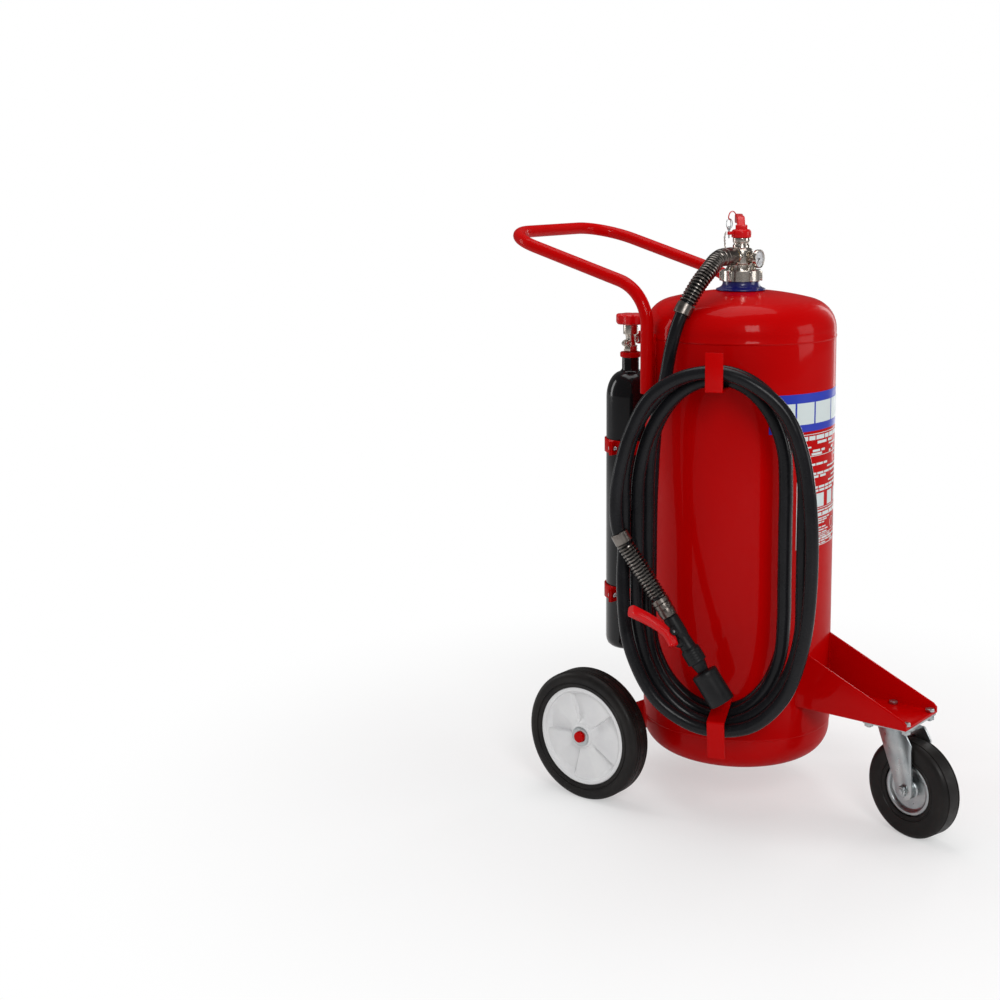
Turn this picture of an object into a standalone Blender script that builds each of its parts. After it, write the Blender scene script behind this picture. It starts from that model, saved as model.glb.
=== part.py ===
"""Wheeled dry-powder fire extinguisher: tank on two wheels and a caster, hose coil, nozzle and gas bottle."""
import math

import bmesh
import bpy
from mathutils import Matrix, Vector

# ---------------------------------------------------------------- driving dimensions (metres, +Z up)
GAP = 0.0003             # air left between two pieces that touch
RUN = 0.00008            # radial clearance of a shaft that turns in a bore

TANK_R = 0.200
TANK_WALL = 0.003
CROWN_HEAD_R = 0.613     # each head is dished: a flat crown
KNUCKLE_R = 0.0623       # and a tight knuckle at the rim
BOTTOM_HEAD_Z = 0.1575   # where the bottom head starts
TOP_HEAD_Z = 1.0121      # where the top head starts
TANK_SIDES = 36

NECK_R = 0.038           # blue neck collar
NECK_FOOT_R = 0.052
NECK_BORE_R = 0.030
NECK_H = 0.1149          # collar's top, above the start of the top head
NECK_TOP_Z = TOP_HEAD_Z + NECK_H
NECK_STRAIGHT_H = 0.0235
NECK_FLARE_H = 0.006
NECK_SEAT = 0.0009       # the collar's foot stands this far off the head
RING_NUT_R = 0.0417
RING_NUT_DOWN = 0.0172   # how far the ring nut reaches down over the collar
RING_NUT_Z = NECK_TOP_Z - RING_NUT_DOWN
RING_NUT_H = 0.0238
RING_NUT_LIP = 0.0022
RING_LUG = 0.0035
RING_LUGS = 6
GASKET_T = 0.001
NECK_SIDES = 24

VALVE_NECK_R = 0.0235
VALVE_BLOCK_R = 0.0255
VALVE_FLANGE_T = 0.0028
GLAND_R = 0.0178
GLAND_GROOVE_R = 0.016
GLAND_GROOVE_DOWN = 0.0103
GLAND_GROOVE_H = 0.0045
VALVE_H = 0.0738         # gland's top above the collar's
VALVE_NECK_H = 0.016
VALVE_BLOCK_H = 0.034
GLAND_TOP_Z = NECK_TOP_Z + VALVE_H
BLOCK_Z = (NECK_TOP_Z + VALVE_NECK_H, NECK_TOP_Z + VALVE_NECK_H + VALVE_BLOCK_H)
SPINDLE_R = 0.004
DIP_R = 0.0095
DIP_WALL = 0.001
DIP_BOTTOM_Z = 0.100
DIP_SOCKET = 0.010

OUTLET_H = 0.0365        # hose outlet's axis above the collar
OUTLET_Z = NECK_TOP_Z + OUTLET_H
OUTLET_R = 0.014
HOSE_NUT_AF = 0.0365
HOSE_NUT_L = 0.0145
FERRULE_R = 0.0195
FERRULE_L = 0.031

GAUGE_H = 0.0305         # gauge's axis above the collar
GAUGE_Z = NECK_TOP_Z + GAUGE_H
GAUGE_R = 0.0195
GAUGE_FRONT = 0.046      # gauge face, in front of the tank's axis
GAUGE_DEPTH = 0.010
GAUGE_LIP = 0.0018
GAUGE_STEM_R = 0.006

LEVER_HEADING = 33.5     # degrees from +X towards +Y
LEVER_HUB_R = 0.0207
LEVER_HUB_H = 0.0165
LEVER_REACH = 0.118
LEVER_RISE = 0.0467      # arm's top above the gland
LEVER_ARM_TOP_Z = GLAND_TOP_Z + LEVER_RISE
LEVER_ARM_H = 0.018
LEVER_ARM_T = 0.012
LEVER_GRIP_R = 0.0128
LEVER_GRIP_L = 0.042
LUG_HEADING = 146.0      # the lug that takes the safety pin
LUG_OUT = 0.0287
LUG_T = 0.007
PIN_R = 0.0015
PIN_EYE_R = 0.0033
PIN_EYE_WIRE_R = 0.0012
PIN_RING_R = 0.0105
WIRE_R = 0.0009

HOSE_R = 0.0134
GUARD_R = 0.0185
COIL_NORMAL = 21.5       # degrees from -X towards -Y: the side the hose hangs on
HOOK_W = 0.035
HOOK_T = 0.005
COIL_STAND = 0.0055      # the coil's nearest face stands this far off the tank
COIL_DEPTH = 0.0705
COIL_INNER = TANK_R + COIL_STAND
COIL_OUTER = COIL_INNER + COIL_DEPTH
UPPER_ARM_DOWN = 0.0934  # top face of the upper hook's arm, below the start of the top head
UPPER_ARM_Z = TOP_HEAD_Z - UPPER_ARM_DOWN
UPPER_HOOK_ROOM = 0.0332  # from the coil's outer face to the hook's tongue
UPPER_HOOK_REACH = COIL_OUTER + UPPER_HOOK_ROOM + HOOK_T
UPPER_HOOK_H = 0.079
LOWER_ARM_UP = 0.0890    # underside of the lower hook's arm, above the bottom head
LOWER_ARM_Z = BOTTOM_HEAD_Z + LOWER_ARM_UP
LOWER_HOOK_ROOM = 0.040
LOWER_HOOK_REACH = COIL_OUTER + LOWER_HOOK_ROOM + HOOK_T
LOWER_HOOK_DROP = 0.082
LOWER_HOOK_LEAN = 0.016
LOWER_HOOK_RISE = 0.022   # how much higher its arm meets the tank
LOWER_HOOK_AHEAD = 0.011  # nearer the front than the upper hook
COIL_INSIDE_W = 0.124    # half width of the coil's hole
COIL_OUTSIDE_W = 0.200   # half width of the coil
COIL_BAND = 0.047        # depth of the coil over the hook
COIL_SLACK = 0.0055      # the loop is round, so its crown stands off the flat arm
COIL_SQUARE = 2.2        # 2 is an ellipse, more is squarer

HANDLE_TUBE_R = 0.0135
HANDLE_POST_TURN = 30.2  # degrees from +X: where each post stands on the tank
HANDLE_SEAT_L = 0.1301   # length of post along the tank's side
HANDLE_FOOT_Z = TOP_HEAD_Z - HANDLE_SEAT_L
HANDLE_POST_H = 0.0834   # bend above the start of the top head
HANDLE_BEND_Z = TOP_HEAD_Z + HANDLE_POST_H
HANDLE_REACH = 0.295     # rear bar behind the tank
HANDLE_BAR_Y = TANK_R + HANDLE_REACH
HANDLE_RISE = 0.111
HANDLE_BAR_Z = HANDLE_BEND_Z + HANDLE_RISE
HANDLE_STAND = 0.0055    # each post stands this far off the tank, on a welded strip
HANDLE_STRIP_W = 0.008
HANDLE_BEND_R = 0.096

BOTTLE_R = 0.054
BOTTLE_STAND = 0.026     # room between the bottle and the tank
BOTTLE_Y = TANK_R + BOTTLE_STAND + BOTTLE_R
BOTTLE_BOTTOM_Z = 0.263
BOTTLE_BODY_H = 0.575
BOTTLE_SHOULDER_H = 0.058
BOTTLE_NECK_H = 0.0315
BOTTLE_SHOULDER_Z = BOTTLE_BOTTOM_Z + BOTTLE_BODY_H
BOTTLE_NECK_Z = BOTTLE_SHOULDER_Z + BOTTLE_SHOULDER_H
BOTTLE_NECK_TOP_Z = BOTTLE_NECK_Z + BOTTLE_NECK_H
BOTTLE_NECK_R = 0.0192
NECK_RING_R = 0.0235
NECK_RING_H = 0.0118
BOTTLE_VALVE_H = 0.074
BOTTLE_VALVE_TOP_Z = BOTTLE_NECK_TOP_Z + BOTTLE_VALVE_H
BOTTLE_VALVE_R = 0.0125
BOTTLE_COLLAR_R = 0.0167
BOTTLE_COLLAR_H = 0.0225
BOTTLE_NUT_R = 0.0165
BOTTLE_NUT_H = 0.0135
BOTTLE_OUTLET_H = 0.0365
BOTTLE_OUTLET_Z = BOTTLE_NECK_TOP_Z + BOTTLE_OUTLET_H
BOTTLE_OUTLET_REACH = 0.034
CAP_R = 0.0138
HANDWHEEL_R = 0.034
HANDWHEEL_H = 0.0225
HANDWHEEL_LOBES = 7
GAS_SPINDLE_R = 0.004

CLAMP_UP = (0.132, 0.467)   # middles of the two clamps above the bottle's foot
CLAMP_Z = (BOTTLE_BOTTOM_Z + CLAMP_UP[0], BOTTLE_BOTTOM_Z + CLAMP_UP[1])
CLAMP_H = 0.030
CLAMP_T = 0.004
CLAMP_EAR = 0.020
SADDLE_HALF_W = 0.030
CLAMP_BOLT_R = 0.003

WHEEL_R = 0.140
WHEEL_W = 0.055
WHEEL_SIDES = 32
WHEEL_X = 0.2535         # middle plane of each rear wheel
HUB_R = 0.106
HUB_W = 0.050
HUB_RIM = 0.011
HUB_WEB = 0.034
HUB_BOSS_R = 0.026
HUB_BOSS_PROUD = 0.003
AXLE_R = 0.0115
AXLE_STAND = 0.0135      # axle's middle behind the tank
AXLE_Y = TANK_R + AXLE_STAND
AXLE_END_X = 0.302
AXLE_COLLAR_R = 0.0185
AXLE_COLLAR_L = 0.010
WASHER_R = 0.021
WASHER_T = 0.0025
AXLE_BRACKET_X = 0.110
AXLE_BRACKET_T = 0.006

BRACKET_HALF_W = 0.0734
BRACKET_REACH = 0.231    # plate's front edge, in front of the tank
BRACKET_FRONT_Y = -TANK_R - BRACKET_REACH
BRACKET_Z = 0.2365       # underside of the caster bracket's plate
BRACKET_T = 0.005
FLANGE_FRONT_H = 0.019
FLANGE_H = 0.1255        # top of the flanges at the tank, above the plate's underside
FLANGE_TOP_Z = BRACKET_Z + FLANGE_H
BOLT_X = 0.0553
BOLT_Y = 0.040           # from the swivel axis, each way
BOLT_R = 0.005
BOLT_AF = 0.017
SWIVEL_SETBACK = 0.048   # swivel axis behind the plate's front edge
SWIVEL_Y = BRACKET_FRONT_Y + SWIVEL_SETBACK
CASTER_PLATE = (0.135, 0.096, 0.0038)
RACE_R = 0.034
RACE_H = 0.0115
KINGPIN_R = 0.006
CROWN_R = 0.036
CROWN_T = 0.0045
TRAIL = 0.040
HEADING = -14.0          # degrees the caster is turned about Z at rest
CASTER_R = 0.100
CASTER_W = 0.050
CASTER_RIM_R = 0.055
CASTER_RIM_W = 0.040
CASTER_BOSS_R = 0.016
CASTER_BOSS_W = 0.054
CASTER_AXLE_R = 0.006
CASTER_AXLE_HALF = 0.043
FORK_INSIDE = 0.0285
FORK_T = 0.0035
LEG_END_R = 0.021

# nozzle: a straight line from the hose ferrule to the tip, with the squeeze lever on its outer side
NOZZLE_START = Vector((-0.309, -0.028, 0.455))
NOZZLE_TIP = Vector((-0.278, -0.131, 0.292))
NOZZLE_LEVER_SIDE = Vector((-0.974, 0.050, -0.220))
NOZZLE_FERRULE_L = 0.030
NOZZLE_FERRULE_R = 0.0175
NOZZLE_BODY_R = 0.0157
NOZZLE_COLLAR_R = 0.020
NOZZLE_BARREL_R = 0.027
NOZZLE_WAIST_R = 0.0165
NOZZLE_BORE_R = 0.009
NOZZLE_STEPS = (0.072, 0.077, 0.106, 0.128, 0.200)   # knurl start, knurl, waist, barrel, tip
PIVOT_ALONG = 0.028
PIVOT_OUT = 0.0225
PIVOT_R = 0.003
NOZZLE_LEVER_W = 0.012
EAR_T = 0.004

# ---------------------------------------------------------------- values that follow
TAU = math.tau
TILT = math.radians(COIL_NORMAL)
COIL_OUT = Vector((-math.cos(TILT), -math.sin(TILT), 0))      # away from the tank
COIL_ALONG = Vector((math.sin(TILT), -math.cos(TILT), 0))     # towards the extinguisher's front
FLANGE_Z = NECK_TOP_Z + GAP + GASKET_T + GAP
LEVER_Z = GLAND_TOP_Z + 0.0005
CASTER_TURN = math.radians(HEADING)
PLATE_TOP = BRACKET_Z - GAP
PLATE_BOTTOM = PLATE_TOP - CASTER_PLATE[2]
RACE_BOTTOM = PLATE_BOTTOM - RACE_H
CROWN_TOP = RACE_BOTTOM - GAP
CROWN_BOTTOM = CROWN_TOP - CROWN_T


def running(radius, sides=16):
    """Radius of a bore of so many facets that a shaft of this radius turns in with RUN to spare."""
    return (radius + RUN) / math.cos(math.pi / sides)


def tyre_profile(radius, width, inner):
    """Closed section of a tyre, (radius, across), from one side of the bore over the tread to the other."""
    half = width / 2
    crown = width * 0.16
    side = [(inner, half * 0.93), (radius - crown * 1.8, half), (radius - crown, half * 0.97),
            (radius - crown * 0.25, half * 0.78), (radius, half * 0.45)]
    return side + [(r, -x) for r, x in reversed(side)]


def on_facets(profile, inner):
    """The same section with its outside pushed out, so that the facets' flats lie at the true radius."""
    grow = 1 / math.cos(math.pi / WHEEL_SIDES)
    return [(r * grow if r > inner else r, x) for r, x in profile]


REAR_TYRE = tyre_profile(WHEEL_R, WHEEL_W, HUB_R + GAP)
CASTER_TYRE = tyre_profile(CASTER_R, CASTER_W, CASTER_RIM_R + GAP)
FRONT_REACH = SWIVEL_Y - TRAIL * math.cos(CASTER_TURN) - max(
    r * math.cos(CASTER_TURN) + abs(math.sin(CASTER_TURN)) * abs(x) for r, x in CASTER_TYRE)
REAR_REACH = HANDLE_BAR_Y + HANDLE_TUBE_R
FLAT_DOWN = (math.pi / WHEEL_SIDES, 0, 0)     # a wheel stands on the flat of a facet
TANK_Y = -(FRONT_REACH + REAR_REACH) / 2      # puts the origin under the middle of the whole object


# ---------------------------------------------------------------- scene, collections, materials
for old in list(bpy.data.objects):
    bpy.data.objects.remove(old)

PARTS = bpy.data.collections.new("wheeled_fire_extinguisher")
CUTTERS = bpy.data.collections.new("cutters")
bpy.context.scene.collection.children.link(PARTS)
bpy.context.scene.collection.children.link(CUTTERS)


def material(name, colour, roughness, metallic=0.0):
    made = bpy.data.materials.new(name)
    made.use_nodes = True
    shader = made.node_tree.nodes["Principled BSDF"]
    shader.inputs["Base Color"].default_value = (*colour, 1.0)
    shader.inputs["Roughness"].default_value = roughness
    shader.inputs["Metallic"].default_value = metallic
    return made


RED = ("red_enamel", (0.62, 0.0, 0.005), 0.28, 0.0)
RED_VALVE = ("red_lacquer", (0.65, 0.005, 0.01), 0.35, 0.0)
BLUE = ("blue_paint", (0.02, 0.03, 0.30), 0.35, 0.0)
NICKEL = ("nickel_plate", (0.62, 0.58, 0.53), 0.25, 1.0)
ZINC = ("zinc_plate", (0.60, 0.62, 0.64), 0.38, 1.0)
STEEL = ("spring_steel", (0.38, 0.36, 0.34), 0.35, 1.0)
HOSE = ("hose_rubber", (0.018, 0.018, 0.02), 0.45, 0.0)
TYRE = ("tyre_rubber", (0.02, 0.02, 0.02), 0.7, 0.0)
BLACK = ("black_plastic", (0.015, 0.015, 0.016), 0.5, 0.0)
WHITE = ("white_plastic", (0.75, 0.75, 0.76), 0.45, 0.0)
BOTTLE = ("black_enamel", (0.012, 0.012, 0.014), 0.22, 0.0)
GLASS = ("gauge_glass", (0.9, 0.92, 0.93), 0.05, 0.0)

base = bpy.data.objects.new("tank_axis", None)
base.location = (0, TANK_Y, 0)
PARTS.objects.link(base)


def empty(name, location, parent=base, turn=(0, 0, 0)):
    made = bpy.data.objects.new(name, None)
    made.location = location
    made.rotation_euler = turn
    made.parent = parent
    PARTS.objects.link(made)
    return made


def add(obj, look, parent=base):
    """Puts a piece in the part, with a material of its own."""
    for home in list(obj.users_collection):
        home.objects.unlink(obj)
    PARTS.objects.link(obj)
    obj.data.materials.clear()
    obj.data.materials.append(material(obj.name, *look[1:]))
    obj.parent = parent
    return obj


def hide(obj, parent=base):
    """Keeps a cutter, or a shape that is joined to another, out of the part."""
    for home in list(obj.users_collection):
        home.objects.unlink(obj)
    CUTTERS.objects.link(obj)
    obj.hide_render = True
    obj.display_type = "WIRE"
    obj.parent = parent
    return obj


def boolean(obj, other, operation):
    step = obj.modifiers.new(other.name, "BOOLEAN")
    step.object = other
    step.operation = operation
    return obj


def cut(obj, *others):
    for other in others:
        boolean(obj, other, "DIFFERENCE")
    return obj


def join(obj, *others):
    for other in others:
        boolean(obj, other, "UNION")
    return obj


# ---------------------------------------------------------------- shape makers
def mesh_object(name, mesh_bm, location=(0, 0, 0), turn=(0, 0, 0), smooth=40):
    mesh = bpy.data.meshes.new(name)
    mesh_bm.to_mesh(mesh)
    mesh_bm.free()
    mesh.shade_smooth()
    mesh.set_sharp_from_angle(angle=math.radians(smooth))
    obj = bpy.data.objects.new(name, mesh)
    obj.location = location
    obj.rotation_euler = turn
    return obj


def turned(name, profile, location=(0, 0, 0), turn=(0, 0, 0), sides=24, closed=False):
    """A turned piece. The profile holds (radius, height) and runs down the outer side."""
    mesh = bpy.data.meshes.new(name)
    edges = [(i, i + 1) for i in range(len(profile) - 1)]
    if closed:
        edges.append((len(profile) - 1, 0))
    mesh.from_pydata([(r, 0, z) for r, z in profile], edges, [])
    obj = bpy.data.objects.new(name, mesh)
    obj.location = location
    obj.rotation_euler = turn
    screw = obj.modifiers.new("turn", "SCREW")
    screw.axis = "Z"
    screw.angle = TAU
    screw.steps = sides
    screw.render_steps = sides
    screw.use_merge_vertices = True
    screw.merge_threshold = 0.00001
    screw.use_smooth_shade = True
    return obj


def rod(name, radius, bottom, top, location=(0, 0, 0), turn=(0, 0, 0), sides=16):
    return turned(name, [(0, top), (radius, top), (radius, bottom), (0, bottom)], location, turn, sides)


def ring(name, outer, inner, bottom, top, location=(0, 0, 0), turn=(0, 0, 0), sides=24):
    profile = [(outer, top), (outer, bottom), (inner, bottom), (inner, top)]
    return turned(name, profile, location, turn, sides, closed=True)


def box(name, low, high, turn=(0, 0, 0), location=(0, 0, 0)):
    bm = bmesh.new()
    size = [h - l for l, h in zip(low, high)]
    middle = [(h + l) / 2 for l, h in zip(low, high)]
    bmesh.ops.create_cube(bm, size=1.0, matrix=Matrix.Translation(middle) @ Matrix.Diagonal((*size, 1.0)))
    return mesh_object(name, bm, location, turn)


def hexagon(name, across_flats, bottom, top, location=(0, 0, 0), turn=(0, 0, 0)):
    bm = bmesh.new()
    corner = across_flats / math.sqrt(3)
    bmesh.ops.create_cone(bm, cap_ends=True, segments=6, radius1=corner, radius2=corner, depth=top - bottom,
                          matrix=Matrix.Translation((0, 0, (top + bottom) / 2)))
    return mesh_object(name, bm, location, turn)


def tube(name, points, radius, rounding=2):
    """A round bar or hose along points, as a curve with filled caps."""
    curve = bpy.data.curves.new(name, "CURVE")
    curve.dimensions = "3D"
    curve.bevel_depth = radius
    curve.bevel_resolution = rounding
    curve.use_fill_caps = True
    spline = curve.splines.new("POLY")
    spline.points.add(len(points) - 1)
    for spot, point in zip(spline.points, points):
        spot.co = (*point, 1.0)
    return bpy.data.objects.new(name, curve)


def flat(name, outlines, thickness, location=(0, 0, 0), turn=(0, 0, 0)):
    """A flat plate: closed outlines in its own XY plane, the second one a hole, and thickness along Z."""
    curve = bpy.data.curves.new(name, "CURVE")
    curve.dimensions = "2D"
    curve.fill_mode = "BOTH"
    curve.extrude = thickness / 2
    for outline in outlines:
        spline = curve.splines.new("POLY")
        spline.points.add(len(outline) - 1)
        for spot, point in zip(spline.points, outline):
            spot.co = (point[0], point[1], 0, 1)
        spline.use_cyclic_u = True
    obj = bpy.data.objects.new(name, curve)
    obj.location = location
    obj.rotation_euler = turn
    return obj


def as_mesh(obj, smooth=40):
    """The same shape as a welded mesh, which a Boolean can cut or join."""
    CUTTERS.objects.link(obj)
    view = bpy.context.evaluated_depsgraph_get()
    view.update()
    mesh = bpy.data.meshes.new_from_object(obj.evaluated_get(view))
    bm = bmesh.new()
    bm.from_mesh(mesh)
    bmesh.ops.remove_doubles(bm, verts=bm.verts, dist=0.00001)
    bmesh.ops.recalc_face_normals(bm, faces=bm.faces)
    bm.to_mesh(mesh)
    bm.free()
    mesh.shade_smooth()
    mesh.set_sharp_from_angle(angle=math.radians(smooth))
    made = bpy.data.objects.new(obj.name, mesh)
    made.matrix_world = obj.matrix_world.copy()
    name = obj.name
    bpy.data.objects.remove(obj)
    made.name = name
    return made


def arc(centre, radius, start, end, count):
    """Points round an arc, angles in degrees."""
    spots = []
    for i in range(count + 1):
        a = math.radians(start + (end - start) * i / count)
        spots.append((centre[0] + radius * math.cos(a), centre[1] + radius * math.sin(a)))
    return spots


def rounded_path(corners, radius, count=5):
    """A path through corners, each one rounded by an arc of the given radius."""
    path = [Vector(corners[0])]
    for before, here, after in zip(corners, corners[1:], corners[2:]):
        here = Vector(here)
        back = (Vector(before) - here).normalized()
        on = (Vector(after) - here).normalized()
        half = back.angle(on) / 2
        reach = radius / math.tan(half)
        centre = here + (back + on).normalized() * (radius / math.sin(half))
        first = here + back * reach - centre
        last = here + on * reach - centre
        sweep = first.angle(last)
        for i in range(count + 1):
            part = i / count
            blend = first * math.sin((1 - part) * sweep) + last * math.sin(part * sweep)
            path.append(centre + blend / math.sin(sweep))
    path.append(Vector(corners[-1]))
    return path


def smooth_path(spots, spacing):
    """Points along a Catmull-Rom curve through the spots, about one spacing apart."""
    ends = [spots[0] * 2 - spots[1]] + list(spots) + [spots[-1] * 2 - spots[-2]]
    path = [spots[0].copy()]
    for p0, p1, p2, p3 in zip(ends, ends[1:], ends[2:], ends[3:]):
        count = max(1, round((p2 - p1).length / spacing))
        for i in range(1, count + 1):
            t = i / count
            path.append(0.5 * (2 * p1 + (p2 - p0) * t + (2 * p0 - 5 * p1 + 4 * p2 - p3) * t ** 2
                               + (3 * p1 - p0 - 3 * p2 + p3) * t ** 3))
    return path


def coil_side(out, along, z):
    """A point on the hose's side of the tank: outwards, towards the front, and up."""
    return COIL_OUT * out + COIL_ALONG * along + Vector((0, 0, z))


# ---------------------------------------------------------------- tank and neck
def head_height(radius, grow=0.0):
    """Height of a dished head above its rim: a flat crown of large radius, then a tight knuckle."""
    crown = CROWN_HEAD_R + grow
    knuckle = KNUCKLE_R + grow
    centre = TANK_R - KNUCKLE_R                 # the knuckle's middle
    drop = math.sqrt((CROWN_HEAD_R - KNUCKLE_R) ** 2 - centre ** 2)
    join = centre * crown / (CROWN_HEAD_R - KNUCKLE_R)
    if radius <= join:
        return math.sqrt(crown ** 2 - radius ** 2) - drop
    return math.sqrt(max(0.0, knuckle ** 2 - (radius - centre) ** 2))


def tank_outline(grow):
    """Outer side of the tank from the neck's hole down to the bottom pole, grown outwards by grow."""
    knuckle = KNUCKLE_R + grow
    centre = TANK_R - KNUCKLE_R
    rim = [centre + knuckle * math.cos(math.radians(a)) for a in (62, 45, 28, 13)]
    spread = [0.052, 0.105, 0.150] + rim
    top = [(r, TOP_HEAD_Z + head_height(r, grow)) for r in spread]
    bottom = [(r, BOTTOM_HEAD_Z - head_height(r, grow)) for r in reversed(spread)]
    return top + [(TANK_R + grow, TOP_HEAD_Z), (TANK_R + grow, BOTTOM_HEAD_Z)] + bottom


def tank_cutter(name, grow=GAP):
    solid = tank_outline(grow)
    profile = [(0, solid[0][1])] + solid + [(0, BOTTOM_HEAD_Z - head_height(0, grow))]
    return hide(turned(name, profile, sides=TANK_SIDES))


def make_tank():
    outer = [(NECK_BORE_R, TOP_HEAD_Z + head_height(NECK_BORE_R))] + tank_outline(0)
    inner = [(NECK_BORE_R, TOP_HEAD_Z + head_height(NECK_BORE_R, -TANK_WALL))] + tank_outline(-TANK_WALL)
    outer_pole = (0, BOTTOM_HEAD_Z - head_height(0))
    inner_pole = (0, BOTTOM_HEAD_Z - head_height(0, -TANK_WALL))
    shell = turned("tank_shell", [inner_pole] + inner[::-1] + outer + [outer_pole], sides=TANK_SIDES)
    add(shell, RED)


def make_neck():
    foot = (NECK_FOOT_R, NECK_FOOT_R - 0.006, NECK_FOOT_R - 0.012, NECK_BORE_R + 0.0005)
    under = [(r, TOP_HEAD_Z + head_height(r) + NECK_SEAT) for r in foot]
    flare_top = NECK_TOP_Z - NECK_STRAIGHT_H
    profile = [(NECK_R, NECK_TOP_Z), (NECK_R, flare_top),
               (NECK_R + NECK_FLARE_H / 2, flare_top - NECK_FLARE_H), (NECK_FOOT_R, under[0][1] + 0.002)]
    add(turned("neck_collar", profile + under + [(NECK_BORE_R + 0.0005, NECK_TOP_Z)], closed=True,
               sides=NECK_SIDES), BLUE)
    gasket_low = NECK_TOP_Z + GAP
    add(ring("neck_gasket", NECK_R - 0.001, NECK_BORE_R, gasket_low, gasket_low + GASKET_T), BLACK)

    bm = bmesh.new()
    sides = RING_LUGS * 8
    bmesh.ops.create_cone(bm, cap_ends=True, segments=sides, radius1=RING_NUT_R, radius2=RING_NUT_R,
                          depth=RING_NUT_H, matrix=Matrix.Translation((0, 0, RING_NUT_Z + RING_NUT_H / 2)))
    for spot in bm.verts:
        turn = math.degrees(math.atan2(spot.co.y, spot.co.x)) % (360 / RING_LUGS)
        if turn < 4 or turn > 360 / RING_LUGS - 4:
            spot.co.xy *= (RING_NUT_R + RING_LUG) / RING_NUT_R
    nut = mesh_object("ring_nut", bm, smooth=20)
    top = RING_NUT_Z + RING_NUT_H
    inside = [(VALVE_NECK_R + 0.001, top + 0.001), (VALVE_NECK_R + 0.001, top - RING_NUT_LIP),
              (NECK_R + GAP, top - RING_NUT_LIP), (NECK_R + GAP, RING_NUT_Z - 0.001)]
    profile = [(0, top + 0.001)] + inside + [(0, RING_NUT_Z - 0.001)]
    cut(nut, hide(turned("ring_nut_thread", profile, sides=NECK_SIDES)))
    add(nut, NICKEL)


# ---------------------------------------------------------------- discharge valve
def make_valve():
    low, high = BLOCK_Z
    groove_top = GLAND_TOP_Z - GLAND_GROOVE_DOWN
    groove_low = groove_top - GLAND_GROOVE_H
    profile = [(0, GLAND_TOP_Z), (GLAND_R, GLAND_TOP_Z), (GLAND_R, groove_top),
               (GLAND_GROOVE_R, groove_top - 0.001), (GLAND_GROOVE_R, groove_low + 0.001),
               (GLAND_R, groove_low), (GLAND_R, high + 0.003), (VALVE_BLOCK_R, high - 0.003),
               (VALVE_BLOCK_R, low + 0.004), (VALVE_NECK_R, low),
               (VALVE_NECK_R, FLANGE_Z + VALVE_FLANGE_T), (NECK_R - 0.001, FLANGE_Z + VALVE_FLANGE_T),
               (NECK_R - 0.001, FLANGE_Z), (0, FLANGE_Z)]
    body = turned("valve_body", profile, sides=26)
    port = (0, 0, OUTLET_Z)
    sideways = (0, -math.pi / 2, 0)      # local +Z points to the hose's side
    outlet = rod("outlet_stub", OUTLET_R, 0, VALVE_BLOCK_R + HOSE_NUT_L, port, sideways, 20)
    bore = rod("spindle_bore", running(SPINDLE_R), high, GLAND_TOP_Z + 0.01)
    socket = rod("dip_socket", DIP_R + GAP, FLANGE_Z - 0.01, FLANGE_Z + DIP_SOCKET)
    gauge_hole = rod("gauge_hole", GAUGE_STEM_R + GAP, VALVE_BLOCK_R - 0.004, VALVE_BLOCK_R + 0.01,
                     (0, 0, GAUGE_Z), (math.pi / 2, 0, 0))
    join(body, hide(outlet))
    cut(body, hide(bore), hide(socket), hide(gauge_hole))
    add(body, NICKEL)
    add(ring("dip_tube", DIP_R, DIP_R - DIP_WALL, DIP_BOTTOM_Z, FLANGE_Z + DIP_SOCKET - GAP, sides=16), ZINC)

    nut_start = VALVE_BLOCK_R + GAP
    nut_end = nut_start + HOSE_NUT_L
    nut = hexagon("hose_nut", HOSE_NUT_AF, nut_start, nut_end, port, sideways)
    hole = rod("hose_nut_thread", OUTLET_R + GAP, nut_start - 0.01, nut_end + 0.01, port, sideways, 20)
    add(cut(nut, hide(hole)), NICKEL)
    start = nut_end + GAP
    add(rod("hose_ferrule", FERRULE_R, start, start + FERRULE_L, port, sideways, 24), NICKEL)


def make_gauge():
    upright = (math.pi / 2, 0, 0)       # local +Z points to the front
    place = (0, 0, GAUGE_Z)
    back = GAUGE_FRONT - GAUGE_DEPTH
    recess = GAUGE_R - GAUGE_LIP
    dial = GAUGE_FRONT - 0.0045
    profile = [(recess, GAUGE_FRONT), (GAUGE_R - 0.0006, GAUGE_FRONT), (GAUGE_R, GAUGE_FRONT - 0.0008),
               (GAUGE_R, back), (GAUGE_STEM_R, back), (GAUGE_STEM_R, VALVE_BLOCK_R - 0.004 + GAP),
               (0, VALVE_BLOCK_R - 0.004 + GAP)]
    case = turned("gauge_case", [(0, dial), (recess, dial)] + profile, place, upright, 22)
    add(case, NICKEL)
    glass = rod("gauge_glass", recess - GAP, GAUGE_FRONT - 0.0018, GAUGE_FRONT - 0.0006, place, upright, 22)
    add(glass, GLASS)
    needle = flat("gauge_needle", [arc((0, 0), 0.0022, 20, 340, 8) + [(0.0125, 0)]], 0.0008)
    needle.location = (0, -(dial + 0.001), GAUGE_Z)
    needle.rotation_euler = (math.pi / 2, math.radians(125), 0)
    add(needle, BLACK)


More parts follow.
